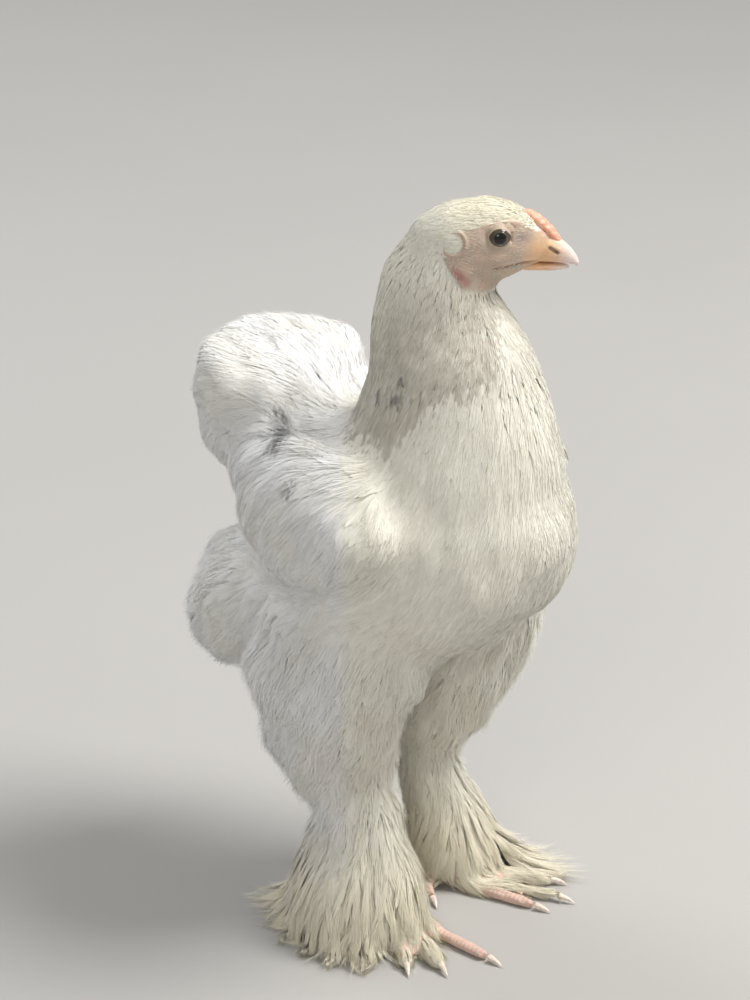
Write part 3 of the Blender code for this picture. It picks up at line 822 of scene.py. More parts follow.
def halved(vertices, triangles, chosen):
    """A mesh with the edges between chosen vertices cut in half, and its triangles with them."""
    pairs = np.sort(np.stack([triangles, np.roll(triangles, -1, axis=1)], axis=2), axis=2).astype(np.int64)
    cut = chosen[pairs].all(axis=2)
    keys, index = np.unique(pairs[cut] @ np.array([len(vertices), 1]), return_inverse=True)
    middle = np.full(cut.shape, -1)
    middle[cut] = index + len(vertices)
    ends = np.stack([keys // len(vertices), keys % len(vertices)], axis=1)
    vertices = np.concatenate([vertices, vertices[ends].mean(axis=1)])
    count = cut.sum(axis=1)
    whole = count == 3
    t, m = triangles[whole].T, middle[whole].T
    pieces = [triangles[count == 0].T, (t[0], m[0], m[2]), (t[1], m[1], m[0]), (t[2], m[2], m[1]), m]
    for first in range(3):
        second, third = (first + 1) % 3, (first + 2) % 3
        one = (count == 1) & cut[:, first]
        t, m = triangles[one].T, middle[one].T
        pieces += [(t[first], m[first], t[third]), (m[first], t[second], t[third])]
        two = (count == 2) & ~cut[:, first]
        t, m = triangles[two].T, middle[two].T
        pieces += [(t[third], m[third], m[second]), (t[first], t[second], m[second])]
        pieces.append((t[first], m[second], m[third]))
    return vertices, np.concatenate([np.stack(piece, axis=1) for piece in pieces]).astype(np.int32)


def near(values, centre, width):
    """A soft bump, 1 at the centre."""
    return np.exp(-(((values - centre) / width) ** 2))


def bareness(points):
    """1 on the bare skin of the face, 0 under the feathers, for an array of points."""
    ahead, _, up = head_local(points).T
    top = np.interp(ahead, *np.array(FACE_TOP).T)
    low = np.interp(ahead, *np.array(FACE_LOW).T)
    share = smooth(top + 0.0008, top - 0.0008, up) * smooth(low - FACE_EDGE, low + FACE_EDGE, up)
    ear = np.hypot(ahead - EAR[0], (up - EAR[1]) * 0.9)
    share *= 1 - smooth(EAR_TUFT + 0.0006, EAR_TUFT - 0.0006, ear)
    return share * smooth(FACE_BACK - FACE_EDGE, FACE_BACK + FACE_EDGE, ahead)


def face_shape(points, normals):
    """The head's points moved to give it brow, lores, folds, gape and ear, and how dark the painted shade in
    its folds and gape is.
    """
    ahead, left, up = head_local(points).T
    bare = bareness(points)
    side = smooth(0.004, 0.009, np.abs(left))
    from_eye = np.hypot(ahead, up)
    shift = np.zeros(len(points))
    for height, high, tall, forward, long in FACE_BUMPS:
        shift += height * near(up, high, tall) * near(ahead, forward, long) * side
    ear = np.hypot(ahead - EAR[0], up - EAR[1])
    shift += 0.0009 * near(ear, 0.0062, 0.0011) - 0.0014 * near(ear, 0.0, 0.0040)
    shift *= bare
    # Fine folds that sag under the eye and run back to the ear
    sag = up + 0.012 * near(ahead, 0.0, 0.012) + 0.0012 * np.sin(ahead * 210.0)
    waver = 1.6 * np.sin(ahead * 330.0) + 1.3 * np.sin(up * 410.0 + ahead * 160.0)
    folds = np.sin(sag * math.tau / 0.0017 + waver)
    zone = bare * smooth(0.014, 0.004, ahead) * smooth(0.0085, 0.0105, from_eye) * smooth(0.002, -0.004, up)
    patchy = zone * (0.35 + 0.65 * smooth(-0.5, 0.8, np.sin(ahead * 520.0 + up * 300.0)))
    shift += 0.00011 * patchy * folds
    # The mouth's corner runs back from the bill
    line = up - np.interp(ahead, *MOUTH_LINE)
    gape = near(line, 0.0, 0.0007) * smooth(-0.0035, 0.002, ahead) * side
    shift += -0.0009 * gape + 0.0004 * near(line, 0.0016, 0.0009) * smooth(-0.002, 0.004, ahead) * side
    moved = points + normals * shift[:, None]
    # The skin goes in behind the lids
    hollow = smooth(0.0078, 0.0058, from_eye) * (np.abs(left) > 0.004)
    inward = (LID_SIDE - np.abs(head_local(moved)[:, 1])) * hollow * np.sign(left)
    moved += np.outer(inward, np.array(HEAD_TURN @ way(0, 1, 0)))
    return moved, np.clip(0.4 * patchy * np.maximum(-folds, 0) + gape, 0, 1)


def axis_of(node):
    """(centre, direction) of a long node, pointing away from the shank above it."""
    points = np.array([vertex.co for vertex in NODES[node].data.vertices])
    centre = points.mean(axis=0)
    along = np.linalg.svd(points - centre, full_matrices=False)[2][0]
    side = "left" if node.endswith("left") else "right"
    pad = np.array(middle_of("foot_pad_" + side))
    return centre, along * np.sign(np.dot(centre - pad, along))


def scutes(points, normals, part):
    """How far scales stand out of the toes at an array of points, and the painted shade of the lines between
    them.
    """
    raised = np.zeros(len(points))
    crease = np.zeros(len(points))
    for name in TOES:
        chosen = part == SKIN_NODES.index(name)
        centre, along = axis_of(name)
        place = (points[chosen] - centre) @ along
        top = smooth(0.0, 0.5, normals[chosen][:, 2])
        step = (place / SCUTE) % 1.0
        plate = np.minimum(step * 5, (1 - step) * 1.4)
        grain = np.sin(place * 3600) * np.sin(points[chosen] @ np.cross(along, (0, 0, 1)) * 3600)
        raised[chosen] = 0.00022 * top * np.clip(plate, 0, 1) + 0.00010 * (1 - top) * grain
        crease[chosen] = 0.45 * top * smooth(0.35, 0.0, plate)
    return raised, crease


def part_indices(*starts):
    """Indices in SKIN_NODES of the nodes whose names start like this."""
    return [index for index, name in enumerate(SKIN_NODES) if name.startswith(starts)]


def on_parts(vertices, *starts):
    """Which vertices are nearest to a node whose name starts like this."""
    return np.isin(nearest_node(vertices, SKIN_NODES), part_indices(*starts))


def marked(piece, **attributes):
    """Gives a piece the attributes that the skin's material reads, with a value for each vertex."""
    for name, values in attributes.items():
        piece.data.attributes.new(name, "FLOAT", "POINT").data.foreach_set("value", values.astype(np.float32))


# How far the soft lumps of the coat stand out, for the parts that have them
FLUFF = {
    "trunk": 0.0009, "neck": 0.0003, "rear_fluff": 0.0022, "tail": 0.0020, "wing": 0.0015, "thigh": 0.0020,
    "shank": 0.0010,
}
LUMP_LENGTHS = (0.013, 0.030)
LUMP_WAVES = 16
SCUTE = 0.0026  # length of one scale of a toe


def lumps(points):
    """Smooth ups and downs of about 1 at an array of points, longer up the body than across it."""
    own = np.random.default_rng(4)
    ways = unit(own.normal(size=(LUMP_WAVES, 3))) * (1.0, 1.0, 0.55)
    waves = ways * (math.tau / own.uniform(*LUMP_LENGTHS, (LUMP_WAVES, 1)))
    return np.sin(points @ waves.T + own.uniform(0, math.tau, LUMP_WAVES)).sum(axis=1) / math.sqrt(LUMP_WAVES)


def per_part(sizes, part):
    """The size of each vertex's part, from sizes by the start of the part's name, and 0 for the others."""
    own = [
        next((value for start, value in sizes.items() if name.startswith(start)), 0.0) for name in SKIN_NODES
    ]
    return np.array(own)[part]


def coat_surface():
    """The surface of the whole bird at the tips of its coat, with small faces on the face and feet."""
    vertices, triangles = remeshed(joined_nodes(SKIN_NODES, SWELL), SKIN_VOXEL)
    edges = edges_of(triangles)
    small = on_parts(vertices, "toe", "foot", "earlobe")
    strength = averaged(np.where(small, 0.12, 0.5), edges, 2)[:, None]
    vertices = averaged(vertices, edges, 9, strength)
    normals = vertex_normals(vertices, triangles)
    # Creases between the limbs and the body fill out, as feathers bridge them
    bridged = on_parts(vertices, "trunk", "wing", "thigh", "tail", "rear", "neck")
    body = averaged(bridged.astype(float), edges, 4)
    soft = averaged(vertices, edges, CREASE_ROUNDS)
    filled = np.maximum(np.sum((soft - vertices) * normals, axis=1), 0) * body
    vertices += normals * (filled - SWELL + 0.0002)[:, None]
    fluff = averaged(per_part(FLUFF, nearest_node(vertices, SKIN_NODES)), edges, 8)
    vertices += normals * (fluff * lumps(vertices))[:, None]
    for reach, feet in ((0.040, ("toe", "foot")), (0.031, ("toe",))):
        ahead = head_local(vertices)[:, 0]
        fine = (np.linalg.norm(vertices - np.array(HEAD_CENTRE), axis=1) < reach) & (ahead > -0.030)
        fine |= on_parts(vertices, *feet)
        vertices, triangles = halved(vertices, triangles, fine)
        vertices = averaged(vertices, edges_of(triangles), 2, 0.4)
    return Ground(vertices, triangles, SKIN_NODES)


def skin_places(outer):
    """The skin's vertices, which lie inside the coat's surface by the depth of the coat, and the painted
    shade of its creases.
    """
    depth = averaged(per_part(COAT_DEPTH, outer.part), outer.edges, 10)
    depth *= 1 - bareness(outer.vertices)
    thickness = np.empty(len(depth))
    start = outer.vertices - outer.normals * 0.0003
    for index, (place, normal) in enumerate(zip(start.tolist(), (-outer.normals).tolist())):
        far = outer.tree.ray_cast(place, normal)[3]
        thickness[index] = far if far else 0.1
    depth = np.minimum(depth, averaged(thickness, outer.edges, 3) * 0.36)
    depth = averaged(depth, outer.edges, 12)
    shaped, crease = face_shape(outer.vertices, outer.normals)
    raised, lines = scutes(outer.vertices, outer.normals, outer.part)
    shaped += outer.normals * (raised - depth * (1 - bareness(outer.vertices)))[:, None]
    return shaped, np.maximum(crease, lines)


outer = coat_surface()
skin_vertices, creases = skin_places(outer)
skin = object_of("skin", skin_vertices, outer.triangles, skin_finish())
feet = np.isin(outer.part, part_indices("toe", "foot")).astype(float)
# The skin's creases carry painted shade
marked(skin, bare=bareness(outer.vertices), toe=averaged(feet, outer.edges, 3), crease=creases)


# Eyes, lids, bill, comb and claws


def through(values, share):
    """A smooth curve through rows of numbers, read at shares from 0 to 1."""
    values = np.asarray(values, float)
    place = np.clip(share, 0, 1) * (len(values) - 1)
    first = np.minimum(place.astype(int), len(values) - 2)
    t = (place - first)[:, None]
    before, start = values[np.maximum(first - 1, 0)], values[first]
    end, after = values[first + 1], values[np.minimum(first + 2, len(values) - 1)]
    curve = start + (end - before) * (0.5 * t)
    curve += (before * 2 - start * 5 + end * 4 - after) * (0.5 * t * t)
    return curve + (start * 3 - before - end * 3 + after) * (0.5 * t * t * t)


def tube(rings, closed_ends=True):
    """(vertices, triangles) of rings (count, sides, 3) joined in order, and closed at both ends."""
    count, sides, _ = rings.shape
    index = np.arange(count * sides).reshape(count, sides)
    after = np.roll(index, -1, axis=1)
    a, b, c, d = index[:-1].ravel(), after[:-1].ravel(), after[1:].ravel(), index[1:].ravel()
    triangles = [np.stack([a, b, c], axis=1), np.stack([a, c, d], axis=1)]
    vertices = rings.reshape(-1, 3)
    if closed_ends:
        first, last = len(vertices), len(vertices) + 1
        vertices = np.concatenate([vertices, rings[[0, -1]].mean(axis=1)])
        triangles.append(np.stack([after[0], index[0], np.full(sides, first)], axis=1))
        triangles.append(np.stack([index[-1], after[-1], np.full(sides, last)], axis=1))
    return vertices, np.concatenate(triangles)


def head_tube(stations, rings, sides, shape):
    """A closed tube along stations (forward, up, half_width, half_depth) in the head's own directions.

    shape(share, angle, width, depth) gives (left, up) offsets of the points of every ring.
    """
    share = (1 - np.cos(np.pi * np.arange(rings) / (rings - 1))) / 2
    path = through(stations, share)
    angle = np.tile(math.tau * np.arange(sides) / sides, (rings, 1))
    across, up = shape(share[:, None], angle, path[:, 2:3], path[:, 3:4])
    tilt = np.arctan(np.gradient(path[:, 1], path[:, 0]))[:, None]
    return tube(head_world(path[:, 0:1] - np.sin(tilt) * up, across, path[:, 1:2] + np.cos(tilt) * up))


BILL_UPPER = (
    (0.0140, -0.0070, 0.0075, 0.0080), (0.0220, -0.0076, 0.0068, 0.0080), (0.0290, -0.0088, 0.0054, 0.0068),
    (0.0360, -0.0113, 0.0037, 0.0044), (0.0405, -0.0142, 0.0019, 0.0022), (0.0420, -0.0162, 0.0006, 0.0006),
)
BILL_LOWER = (
    (0.0080, -0.0180, 0.0058, 0.0028), (0.0180, -0.0178, 0.0054, 0.0026), (0.0280, -0.0176, 0.0040, 0.0022),
    (0.0355, -0.0172, 0.0022, 0.0015), (0.0380, -0.0171, 0.0006, 0.0005),
)
COMB = (
    (0.0120, 0.0102, 0.0015, 0.0012), (0.0150, 0.0091, 0.0031, 0.0022), (0.0200, 0.0060, 0.0043, 0.0026),
    (0.0250, 0.0020, 0.0043, 0.0026), (0.0300, -0.0029, 0.0030, 0.0022), (0.0325, -0.0047, 0.0008, 0.0008),
)
NOSTRIL = (0.0290, -0.0076)
LID_SPOKES = 72
LID_OPENING = 0.00485
# Rows of a lid from inside its rim outward: how far out from the opening, and how high over the ball
LID_RIM = ((-0.0005, -0.0007), (0.0, 0.00002), (0.00015, 0.00018), (0.0004, 0.00024), (0.0008, 0.0002))
LID_EDGE = ((0.0037, 0.0001), (0.0047, 0.0009))  # how far out its last rows lie, and how deep in the skin


def upper_bill_shape(share, angle, width, depth):
    """A keel along the top, sides that bulge a little, and a flat underside with sharp edges."""
    low = np.sin(angle) < 0
    across = width * np.cos(angle) * (1 + 0.10 * low * (1 - np.abs(np.cos(angle))))
    across = np.where(low, width * np.sign(np.cos(angle)) * np.abs(np.cos(angle)) ** 0.55, across)
    up = depth * np.where(low, -0.92 * np.abs(np.sin(angle)) ** 0.8, np.sin(angle))
    return across, up + depth * 0.06 * near(np.cos(angle), 0.0, 0.2) * ~low


def lower_bill_shape(share, angle, width, depth):
    high = np.sin(angle) > 0
    across = width * np.sign(np.cos(angle)) * np.abs(np.cos(angle)) ** np.where(high, 0.5, 1.0)
    return across, depth * np.sin(angle) * np.where(high, 0.8, 1.0)


def comb_shape(share, angle, width, depth):
    """A low pea comb: a toothed ridge in the middle and a row of small beads down each side."""
    top = np.clip(np.sin(angle), 0, 1)
    teeth = np.abs(np.sin(np.pi * 7 * share)) - 0.4
    beads = np.cos(math.tau * 8 * share + 1.3) * near(np.abs(np.cos(angle)), 0.72, 0.22)
    inside = np.sin(np.pi * np.clip(share, 0, 1))
    scale = 1 + inside * (0.24 * teeth * top**6 + 0.10 * beads * (top > 0))
    return width * np.cos(angle) * scale, depth * np.sin(angle) * scale


def nostrils(vertices, triangles):
    """Presses a slanting slit into each side of the upper bill, under a small flap."""
    normals = vertex_normals(vertices, triangles)
    ahead, left, up = head_local(vertices).T
    along = (ahead - NOSTRIL[0]) * 0.90 - (up - NOSTRIL[1]) * 0.43
    across = (ahead - NOSTRIL[0]) * 0.43 + (up - NOSTRIL[1]) * 0.90
    side = smooth(0.0015, 0.003, np.abs(left))
    slit = near(across, 0.0, 0.0007) * near(along, 0.0, 0.0026)
    flap = near(across, 0.0014, 0.0010) * near(along, 0.0, 0.0034)
    return vertices + normals * ((0.0005 * flap - 0.0013 * slit) * side)[:, None]


def lids(name, side, ground, finish):
    """A ring of soft lids round an eye, from a rounded rim that lies on the ball out into the skin."""
    angle = math.tau * np.arange(LID_SPOKES) / LID_SPOKES
    axis = unit(np.array([0.10, 1.0, 0.06]))
    ahead_way = unit(np.array([1.0, -0.10, 0.0]))
    up_way = np.cross(ahead_way, axis)
    outward = np.array((side, 0, 0)) @ np.array(HEAD_TURN).T

    def ring(radius, rise):
        """World places at a radius round the eye's axis and a height along it."""
        ahead, out, up = (
            np.outer(radius * np.cos(angle), ahead_way) + np.outer(radius * np.sin(angle), up_way)
            + np.outer(rise, axis)
        ).T
        return head_world(ahead, (out + EYE_SIDE) * side, up)

    # The opening is a little longer than high and comes to a corner in front
    corner = near(np.abs(angle - math.pi), math.pi, 0.34)
    opening = LID_OPENING * (1 + 0.05 * np.cos(2 * angle) + 0.22 * corner + 0.05 * near(angle, math.pi, 0.3))
    rings = []
    for reach, height in LID_RIM:
        ball = np.sqrt(np.maximum(EYE_RADIUS**2 - (opening + reach) ** 2, 0))
        rings.append(ring(opening + reach, ball + height))
    edges = []
    for reach, sunk in LID_EDGE:
        edge = ring(0.0052 + (opening - LID_OPENING) * 0.3 + reach, 0 * angle)
        for index, point in enumerate(edge):
            hit = ground.ray_cast(Vector(point + outward * 0.02), Vector(-outward))[0]
            if hit:
                edge[index] = np.array(hit) - outward * sunk
        edges.append(edge)
    rim = rings[-1]
    for share in (0.2, 0.4, 0.6, 0.8):
        fold = 0.00016 * math.sin(share * math.pi) + 0.00010 * math.cos(share * math.tau * 2.2)
        rings.append(rim * (1 - share) + edges[0] * share + outward * fold)
    rings = np.array(rings + edges)
    vertices, triangles = tube(rings if side > 0 else rings[::-1], closed_ends=False)
    piece = object_of(name, vertices, triangles, finish)
    marked(piece, bare=np.ones(len(vertices)), toe=np.zeros(len(vertices)), crease=np.zeros(len(vertices)))
    return piece


def eyeball(name, side):
    """The ball of an eye, with a cornea that stands out a little."""
    centre = head_place(0, side * EYE_SIDE, 0)
    outward = HEAD_TURN @ way(0.10, side, 0.06)
    outward.normalize()
    builder = bmesh.new()
    bmesh.ops.create_icosphere(builder, subdivisions=5, radius=1.0)
    for vertex in builder.verts:
        front = max(vertex.co.normalized().dot(outward), 0)
        vertex.co = centre + vertex.co * (EYE_RADIUS + 0.0003 * smooth(0.80, 0.97, front))
    mesh = mesh_of(name, builder)
    mesh.shade_smooth()
    mesh.materials.append(eye_finish(name, centre, outward))
    return linked(name, mesh)


CLAW_SLIMMING = 0.0005


def claw_piece(node, finish):
    """A claw with a fine keel, round where the CAD claw is faceted."""
    vertices, triangles = remeshed(joined_nodes([node], 0.0001), CLAW_VOXEL)
    vertices = averaged(vertices, edges_of(triangles), 8)
    vertices -= vertex_normals(vertices, triangles) * CLAW_SLIMMING
    vertices[:, 2] = np.maximum(vertices[:, 2], 0.0002)
    return object_of(node + "_horn", vertices, triangles, finish)


def owned(piece, slot, *replaced):
    """Attaches a piece of the bird to the root's body and hides the CAD nodes that it stands for; slot is not
    used.
    """
    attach(piece, "root")
    if replaced:
        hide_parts(*replaced)
    return piece


skin_tree = BVHTree.FromPolygons(skin_vertices.tolist(), outer.triangles.tolist())
for name, side in (("left", 1), ("right", -1)):
    owned(eyeball("eyeball_" + name, side), "eye", "eye_" + name)
    owned(lids("eyelids_" + name, side, skin_tree, skin.data.materials[0]), "face_skin")
horn = bill_finish()
top, faces = head_tube(BILL_UPPER, 64, 56, upper_bill_shape)
owned(object_of("upper_bill", nostrils(top, faces), faces, horn), "horn", "bill_upper")
owned(object_of("lower_bill", *head_tube(BILL_LOWER, 40, 40, lower_bill_shape), horn), "horn", "bill_lower")
comb_red = grainy_finish(
    "comb_red", 0.42, (900.0, 4.0), (COMB_RED, COMB_PALE), (0.6, 0.0003), Subsurface_Weight=0.25,
    Subsurface_Scale=0.002,
)
owned(object_of("pea_comb", *head_tube(COMB, 90, 48, comb_shape), comb_red), "comb", "comb")
claw_horn = grainy_finish("claw_horn", 0.32, (600.0, 3.0), (CLAW_BASE, CLAW_PALE), (0.2, 0.0002))
for name in CLAWS:
    owned(claw_piece(name, claw_horn), "horn", name)
owned(skin, "face_skin", *SKIN_NODES)


# The coat


def feathered(points):
    return bareness(points) < 0.35


def bristly(points):
    """The bare face, but for the bill's root and what is next to the eye."""
    ahead, _, up = head_local(points).T
    return (bareness(points) > 0.6) & (np.hypot(ahead, up) > 0.0105) & (ahead < 0.014)


def forehead(points):
    """The feathered skin from the brow to the root of the bill and beside the comb."""
    ahead = head_local(points)[:, 0]
    return feathered(points) & (ahead > 0.003) & (ahead < 0.019)


def crown(points):
    return feathered(points) & (head_local(points)[:, 0] <= 0.005)


def cover(name, ground, parts, spacing, ahead=(-1, 1), rise=(-1, 1), zone=feathered, **size):
    """Adds feathers to the coat piece called name, on parts of a surface.

    They grow in a zone, between two places forward and two heights. A size may be a function of the height.
    """
    middles = ground.vertices[ground.triangles].mean(axis=1)
    indices = [index for index, part in enumerate(ground.names) if part.startswith(parts)]
    forward, _, up = bird_ways(middles)
    chosen = np.isin(ground.part[ground.triangles[:, 0]], indices) & zone(middles)
    chosen &= (forward > ahead[0]) & (forward <= ahead[1]) & (up > rise[0]) & (up <= rise[1])
    roots = scattered(ground, chosen, spacing)
    high = bird_ways(roots)[2]
    sizes = {key: value(high) if callable(value) else value for key, value in size.items()}
    plume(ground, coat_piece(name), indices, roots, sizes)


def between(low, high, first, last):
    """A size that goes from first to last with the height."""
    return lambda up: first + (last - first) * smooth(low, high, up)


def coat_piece(name):
    return coats.setdefault(name, Coat(name))


white = feather_finish()
coats = {}
SHOULDER = 0.010  # forward; where the breast's smooth feathers end
BACK_EDGE = 0.245  # how high the back's feathers start
CLOSE = {
    "depth": 0.0005, "lift": 0.0002, "stiff": 0.05, "swing": 5, "rows": 3, "camber": 0.12, "soft": 0.9,
    "strands": 5, "width": 0.00026, "loose": 0.0003, "wave": 0.03,
}
SILK = CLOSE | {
    "depth": 0.0012, "lift": 0.0003, "stiff": 0.12, "rows": 4, "strands": 14, "width": 0.00036,
    "loose": 0.0007, "wave": 0.06,
}
LOCK = SILK | {
    "depth": 0.0015, "lift": 0.0010, "swing": 8, "rows": 5, "camber": 0.22, "soft": 0.65, "strands": 16,
    "width": 0.00040, "loose": 0.0012, "wave": 0.08,
}
DOWN = LOCK | {
    "depth": 0.0017, "lift": 0.0013, "stiff": 0.20, "swing": 13, "soft": 0.7, "strands": 15, "loose": 0.0030,
    "wave": 0.12,
}

# Head and neck: tiny close feathers that lengthen down the neck into the hackle
cover("plumage_head", outer, "head", 0.00115, zone=crown, length=0.0066, half_width=0.0014, **CLOSE)
cover(
    "plumage_head", outer, "head", 0.0010, zone=forehead, length=0.0040, half_width=0.0009,
    **CLOSE | {"depth": 0.0004, "strands": 4, "width": 0.00020, "loose": 0.0002},
)
cover(
    "plumage_head", outer, ("head", "neck"), 0.0014, zone=bristly, length=0.0028, half_width=0.00013,
    **CLOSE | {"depth": 0.0002, "strands": 2, "width": 0.00009, "swing": 12},
)
HACKLE = SILK | {
    "depth": 0.0007, "lift": 0.0002, "camber": 0.06, "strands": 7, "width": 0.00034, "loose": 0.0003,
    "wave": 0.03,
}
cover(
    "hackle", outer, "neck", 0.0021, rise=(0.338, 1), length=between(0.338, 0.39, 0.015, 0.009),
    half_width=between(0.338, 0.39, 0.0028, 0.0018), **HACKLE | {"depth": 0.0006},
)
cover(
    "hackle", outer, "neck", 0.0031, rise=(-1, 0.340), length=between(0.27, 0.34, 0.026, 0.016),
    half_width=between(0.27, 0.34, 0.0046, 0.0030), **HACKLE,
)
# The breast is smooth, and what lies behind it is softer
cover(
    "plumage_breast", outer, "trunk", 0.0037, ahead=(SHOULDER, 1), length=0.022, half_width=0.0056,
    **SILK | {"lift": 0.0001, "loose": 0.0004},
)
cover(
    "plumage_breast", outer, "trunk", 0.0048, ahead=(-1, SHOULDER), rise=(-1, BACK_EDGE), length=0.028,
    half_width=0.0066, **LOCK | {"lift": 0.0006, "loose": 0.0014},
)
cover(
    "plumage_back", outer, "trunk", 0.0050, ahead=(-1, SHOULDER), rise=(BACK_EDGE, 1), length=0.034,
    half_width=0.0075, **LOCK,
)
BROAD = LOCK | {"lift": 0.0008, "strands": 18, "soft": 0.8}
for name in ("wing_left", "wing_right"):
    cover("plumage_" + name, outer, name, 0.0041, length=0.034, half_width=0.0060, **BROAD)
cover("plumage_tail", outer, "tail", 0.0047, length=0.036, half_width=0.0070, **BROAD)
cover("down_rear", outer, "rear_fluff", 0.0050, length=0.032, half_width=0.0068, **DOWN)
for name in ("left", "right"):
    cover("plumage_thigh_" + name, outer, "thigh_" + name, 0.0044, length=0.025, half_width=0.0056, **DOWN)
    cover(
        "plumage_boot_" + name, outer, "shank_" + name, 0.0036, length=0.030, half_width=0.0030,
        **DOWN | {"depth": 0.0014, "lift": 0.0007, "strands": 14, "width": 0.00030, "loose": 0.0014},
    )


def foot_ground(name):
    """The surface of a foot's fan of feathers, with the boot above it and the toes that it hides."""
    nodes = [f"shank_{name}", f"foot_feathers_{name}", f"foot_pad_{name}"]
    nodes += [f"toe_{toe}_{name}" for toe in ("inner", "middle", "outer")]
    vertices, triangles = remeshed(joined_nodes(nodes, SWELL), FAN_VOXEL)
    vertices = averaged(vertices, edges_of(triangles), 5)
    return Ground(vertices, triangles, nodes)


# A foot's fan: its first and last headings in degrees outward from straight ahead, how far its tips reach
# along the way, and how high it starts
FANS = {
    "right": ((38.0, 170.0), (0.053, 0.048, 0.045, 0.052, 0.068), 0.036),
    "left": ((26.0, 168.0), (0.072, 0.050, 0.044, 0.048, 0.056), 0.028),
}
# Share of that reach, share of that height, and feathers of each layer of a fan
FAN_LAYERS = ((1.0, 0.7, 100), (0.82, 1.0, 84), (0.62, 1.2, 60))


def fan_courses(name, reach_share, height_share, count, steps):
    """Paths of a layer of a foot's fan: down the boot, then out over the floor, each with a slight bend."""
    headings, reach, height = FANS[name]
    side = 1 if name == "left" else -1
    share = (np.arange(count) + rng.uniform(0.1, 0.9, count)) / count
    angle = np.radians(headings[0] + (headings[1] - headings[0]) * share)
    out = np.stack([side * np.sin(angle), -np.cos(angle), 0 * angle], axis=1)
    far = through(np.array(reach)[:, None], share)[:, 0] * reach_share * rng.uniform(0.86, 1.04, count)
    along = np.linspace(0, 1, steps + 1)[None, :]
    start = 0.012 + 0.010 * rng.random(count)
    radial = start[:, None] + (far - start)[:, None] * along
    up = height * height_share * rng.uniform(0.75, 1.1, count)[:, None] * (1 - along) ** 1.7 + 0.0022
    across = np.cross(np.array((0, 0, 1.0)), out)
    bend = rng.normal(0, 0.006, count)[:, None] * along**2
    centre = np.array(at(*FAN_CENTRE[name], 0))
    places = centre + out[:, None] * radial[..., None] + across[:, None] * bend[..., None]
    places[..., 2] = up
    ways = unit(np.gradient(places, axis=1))
    normals = unit(np.cross(ways, across[:, None]))
    normals *= np.sign(normals[..., 2:3])
    return places, normals, ways


FAN = LOCK | {
    "depth": 0.001, "lift": 0.0008, "rows": 7, "camber": 0.2, "strands": 12, "width": 0.00026,
    "loose": 0.0025, "wave": 0.5,
}
TOE_FEATHER = FAN | {
    "rows": 4, "strands": 7, "loose": 0.0012, "stiff": 0.25, "wave": 0.2, "half_width": 0.0016,
}
for side in ("left", "right"):
    name = "plumage_foot_" + side
    ground = foot_ground(side)
    for reach_share, height_share, count in FAN_LAYERS:
        course = fan_courses(side, reach_share, height_share, count, FAN["rows"])
        length = np.linalg.norm(course[0][:, -1] - course[0][:, 0], axis=1)
        size = FAN | {"length": length, "half_width": 0.0015}
        plume(ground, coat_piece(name), [0], course[0][:, 0], size, course)
    cover(
        name, ground, "shank", 0.0042, rise=(-1, 0.05), length=0.032, half_width=0.0026,
        **DOWN | {"strands": 12, "stiff": 0.4, "width": 0.00028, "lift": 0.0012},
    )
    cover(
        name, ground, ("toe_middle", "toe_outer", "foot_pad"), 0.0021, rise=(0.003, 1), length=0.016,
        **TOE_FEATHER,
    )
    # The inner toe is feathered only near the foot, and only on the left
    if side == "left":
        near_foot = {"ahead": (-1, 0.012), "rise": (0.003, 1)}
        cover(name, ground, ("toe_inner", "foot_pad"), 0.0017, length=0.018, **near_foot, **TOE_FEATHER)

for name, coat in coats.items():
    loose = name.startswith(("plumage_wing", "plumage_tail", "down", "plumage_boot", "plumage_foot"))
    replaced = ["foot_feathers_" + name.rsplit("_", 1)[-1]] if name.startswith("plumage_foot") else []
    owned(coat.made(white), "loose_plumage" if loose else "plumage", *replaced)


# Floor, lights and camera


def soft_light(name, place, aim_height, size, power, colour):
    lamp = bpy.data.lights.new(name, "AREA")
    lamp.shape = "DISK"
    lamp.size = size
    lamp.energy = power
    lamp.color = colour
    made = linked(name, lamp)
    made.location = place
    made.rotation_euler = (Vector((0, 0, aim_height)) - Vector(place)).to_track_quat("-Z", "Y").to_euler()


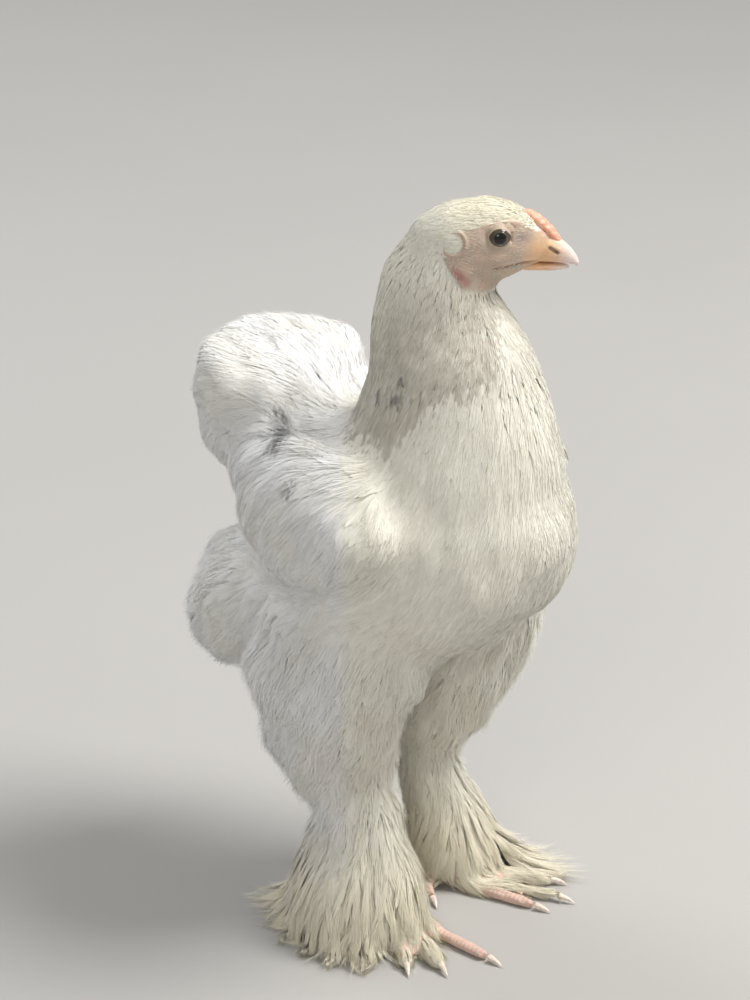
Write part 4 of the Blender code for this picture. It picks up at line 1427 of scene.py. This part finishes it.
def make_floor():
    """A pale floor with a faint mottle of noise."""
    builder = bmesh.new()
    bmesh.ops.create_grid(builder, x_segments=40, y_segments=40, size=6.0)
    mesh = mesh_of("floor", builder)
    finish, tree, place = new_finish("pale_floor", 0.7)
    coloured(tree, mixed(tree, noise(tree, place, 3.0), (0.41, 0.40, 0.385), (0.44, 0.43, 0.415)))
    mesh.materials.append(finish)
    linked("floor", mesh)


def make_world():
    world = bpy.data.worlds.new("studio")
    world.use_nodes = True
    background = world.node_tree.nodes["Background"]
    background.inputs["Color"].default_value = (0.87, 0.87, 0.86, 1)
    background.inputs["Strength"].default_value = 0.44
    bpy.context.scene.world = world


CAMERA_AZIMUTH = -50.0
CAMERA_ELEVATION = 24.0
CAMERA_DISTANCE = 1.8
LENS = 116.64
SENSOR = 36.0  # millimetres, its longer side, which spans the frame's height
FRAME = (750, 1000)
AIM = at(0, 0, 0.012)  # the point of the bird that lies at AIM_PIXEL in the photograph
AIM_PIXEL = (420, 882)


def make_camera():
    turn = math.radians(CAMERA_AZIMUTH)
    rise = math.radians(CAMERA_ELEVATION)
    back = Vector((math.sin(turn) * math.cos(rise), -math.cos(turn) * math.cos(rise), math.sin(rise)))
    right = Vector((math.cos(turn), math.sin(turn), 0))
    up = back.cross(right)
    pixel = SENSOR / FRAME[1] / LENS * CAMERA_DISTANCE
    place = AIM + back * CAMERA_DISTANCE
    place -= right * ((AIM_PIXEL[0] - FRAME[0] / 2) * pixel)
    place += up * ((AIM_PIXEL[1] - FRAME[1] / 2) * pixel)
    lens = bpy.data.cameras.new("camera")
    lens.lens = LENS
    lens.sensor_width = SENSOR
    lens.clip_start = 0.01
    camera = linked("camera", lens)
    camera.location = place
    camera.rotation_euler = back.to_track_quat("Z", "Y").to_euler()
    bpy.context.scene.camera = camera


bpy.context.scene.view_settings.view_transform = "Standard"
make_floor()
make_world()
make_camera()
soft_light("key", (1.0, -1.2, 2.45), 0.2, 1.5, 93, (1.0, 0.985, 0.955))
soft_light("fill", (-2.0, -0.9, 1.5), 0.2, 1.2, 12, (1.0, 0.98, 0.95))
soft_light("rim", (0.3, 2.0, 1.9), 0.25, 1.4, 23, (0.97, 0.98, 1.0))
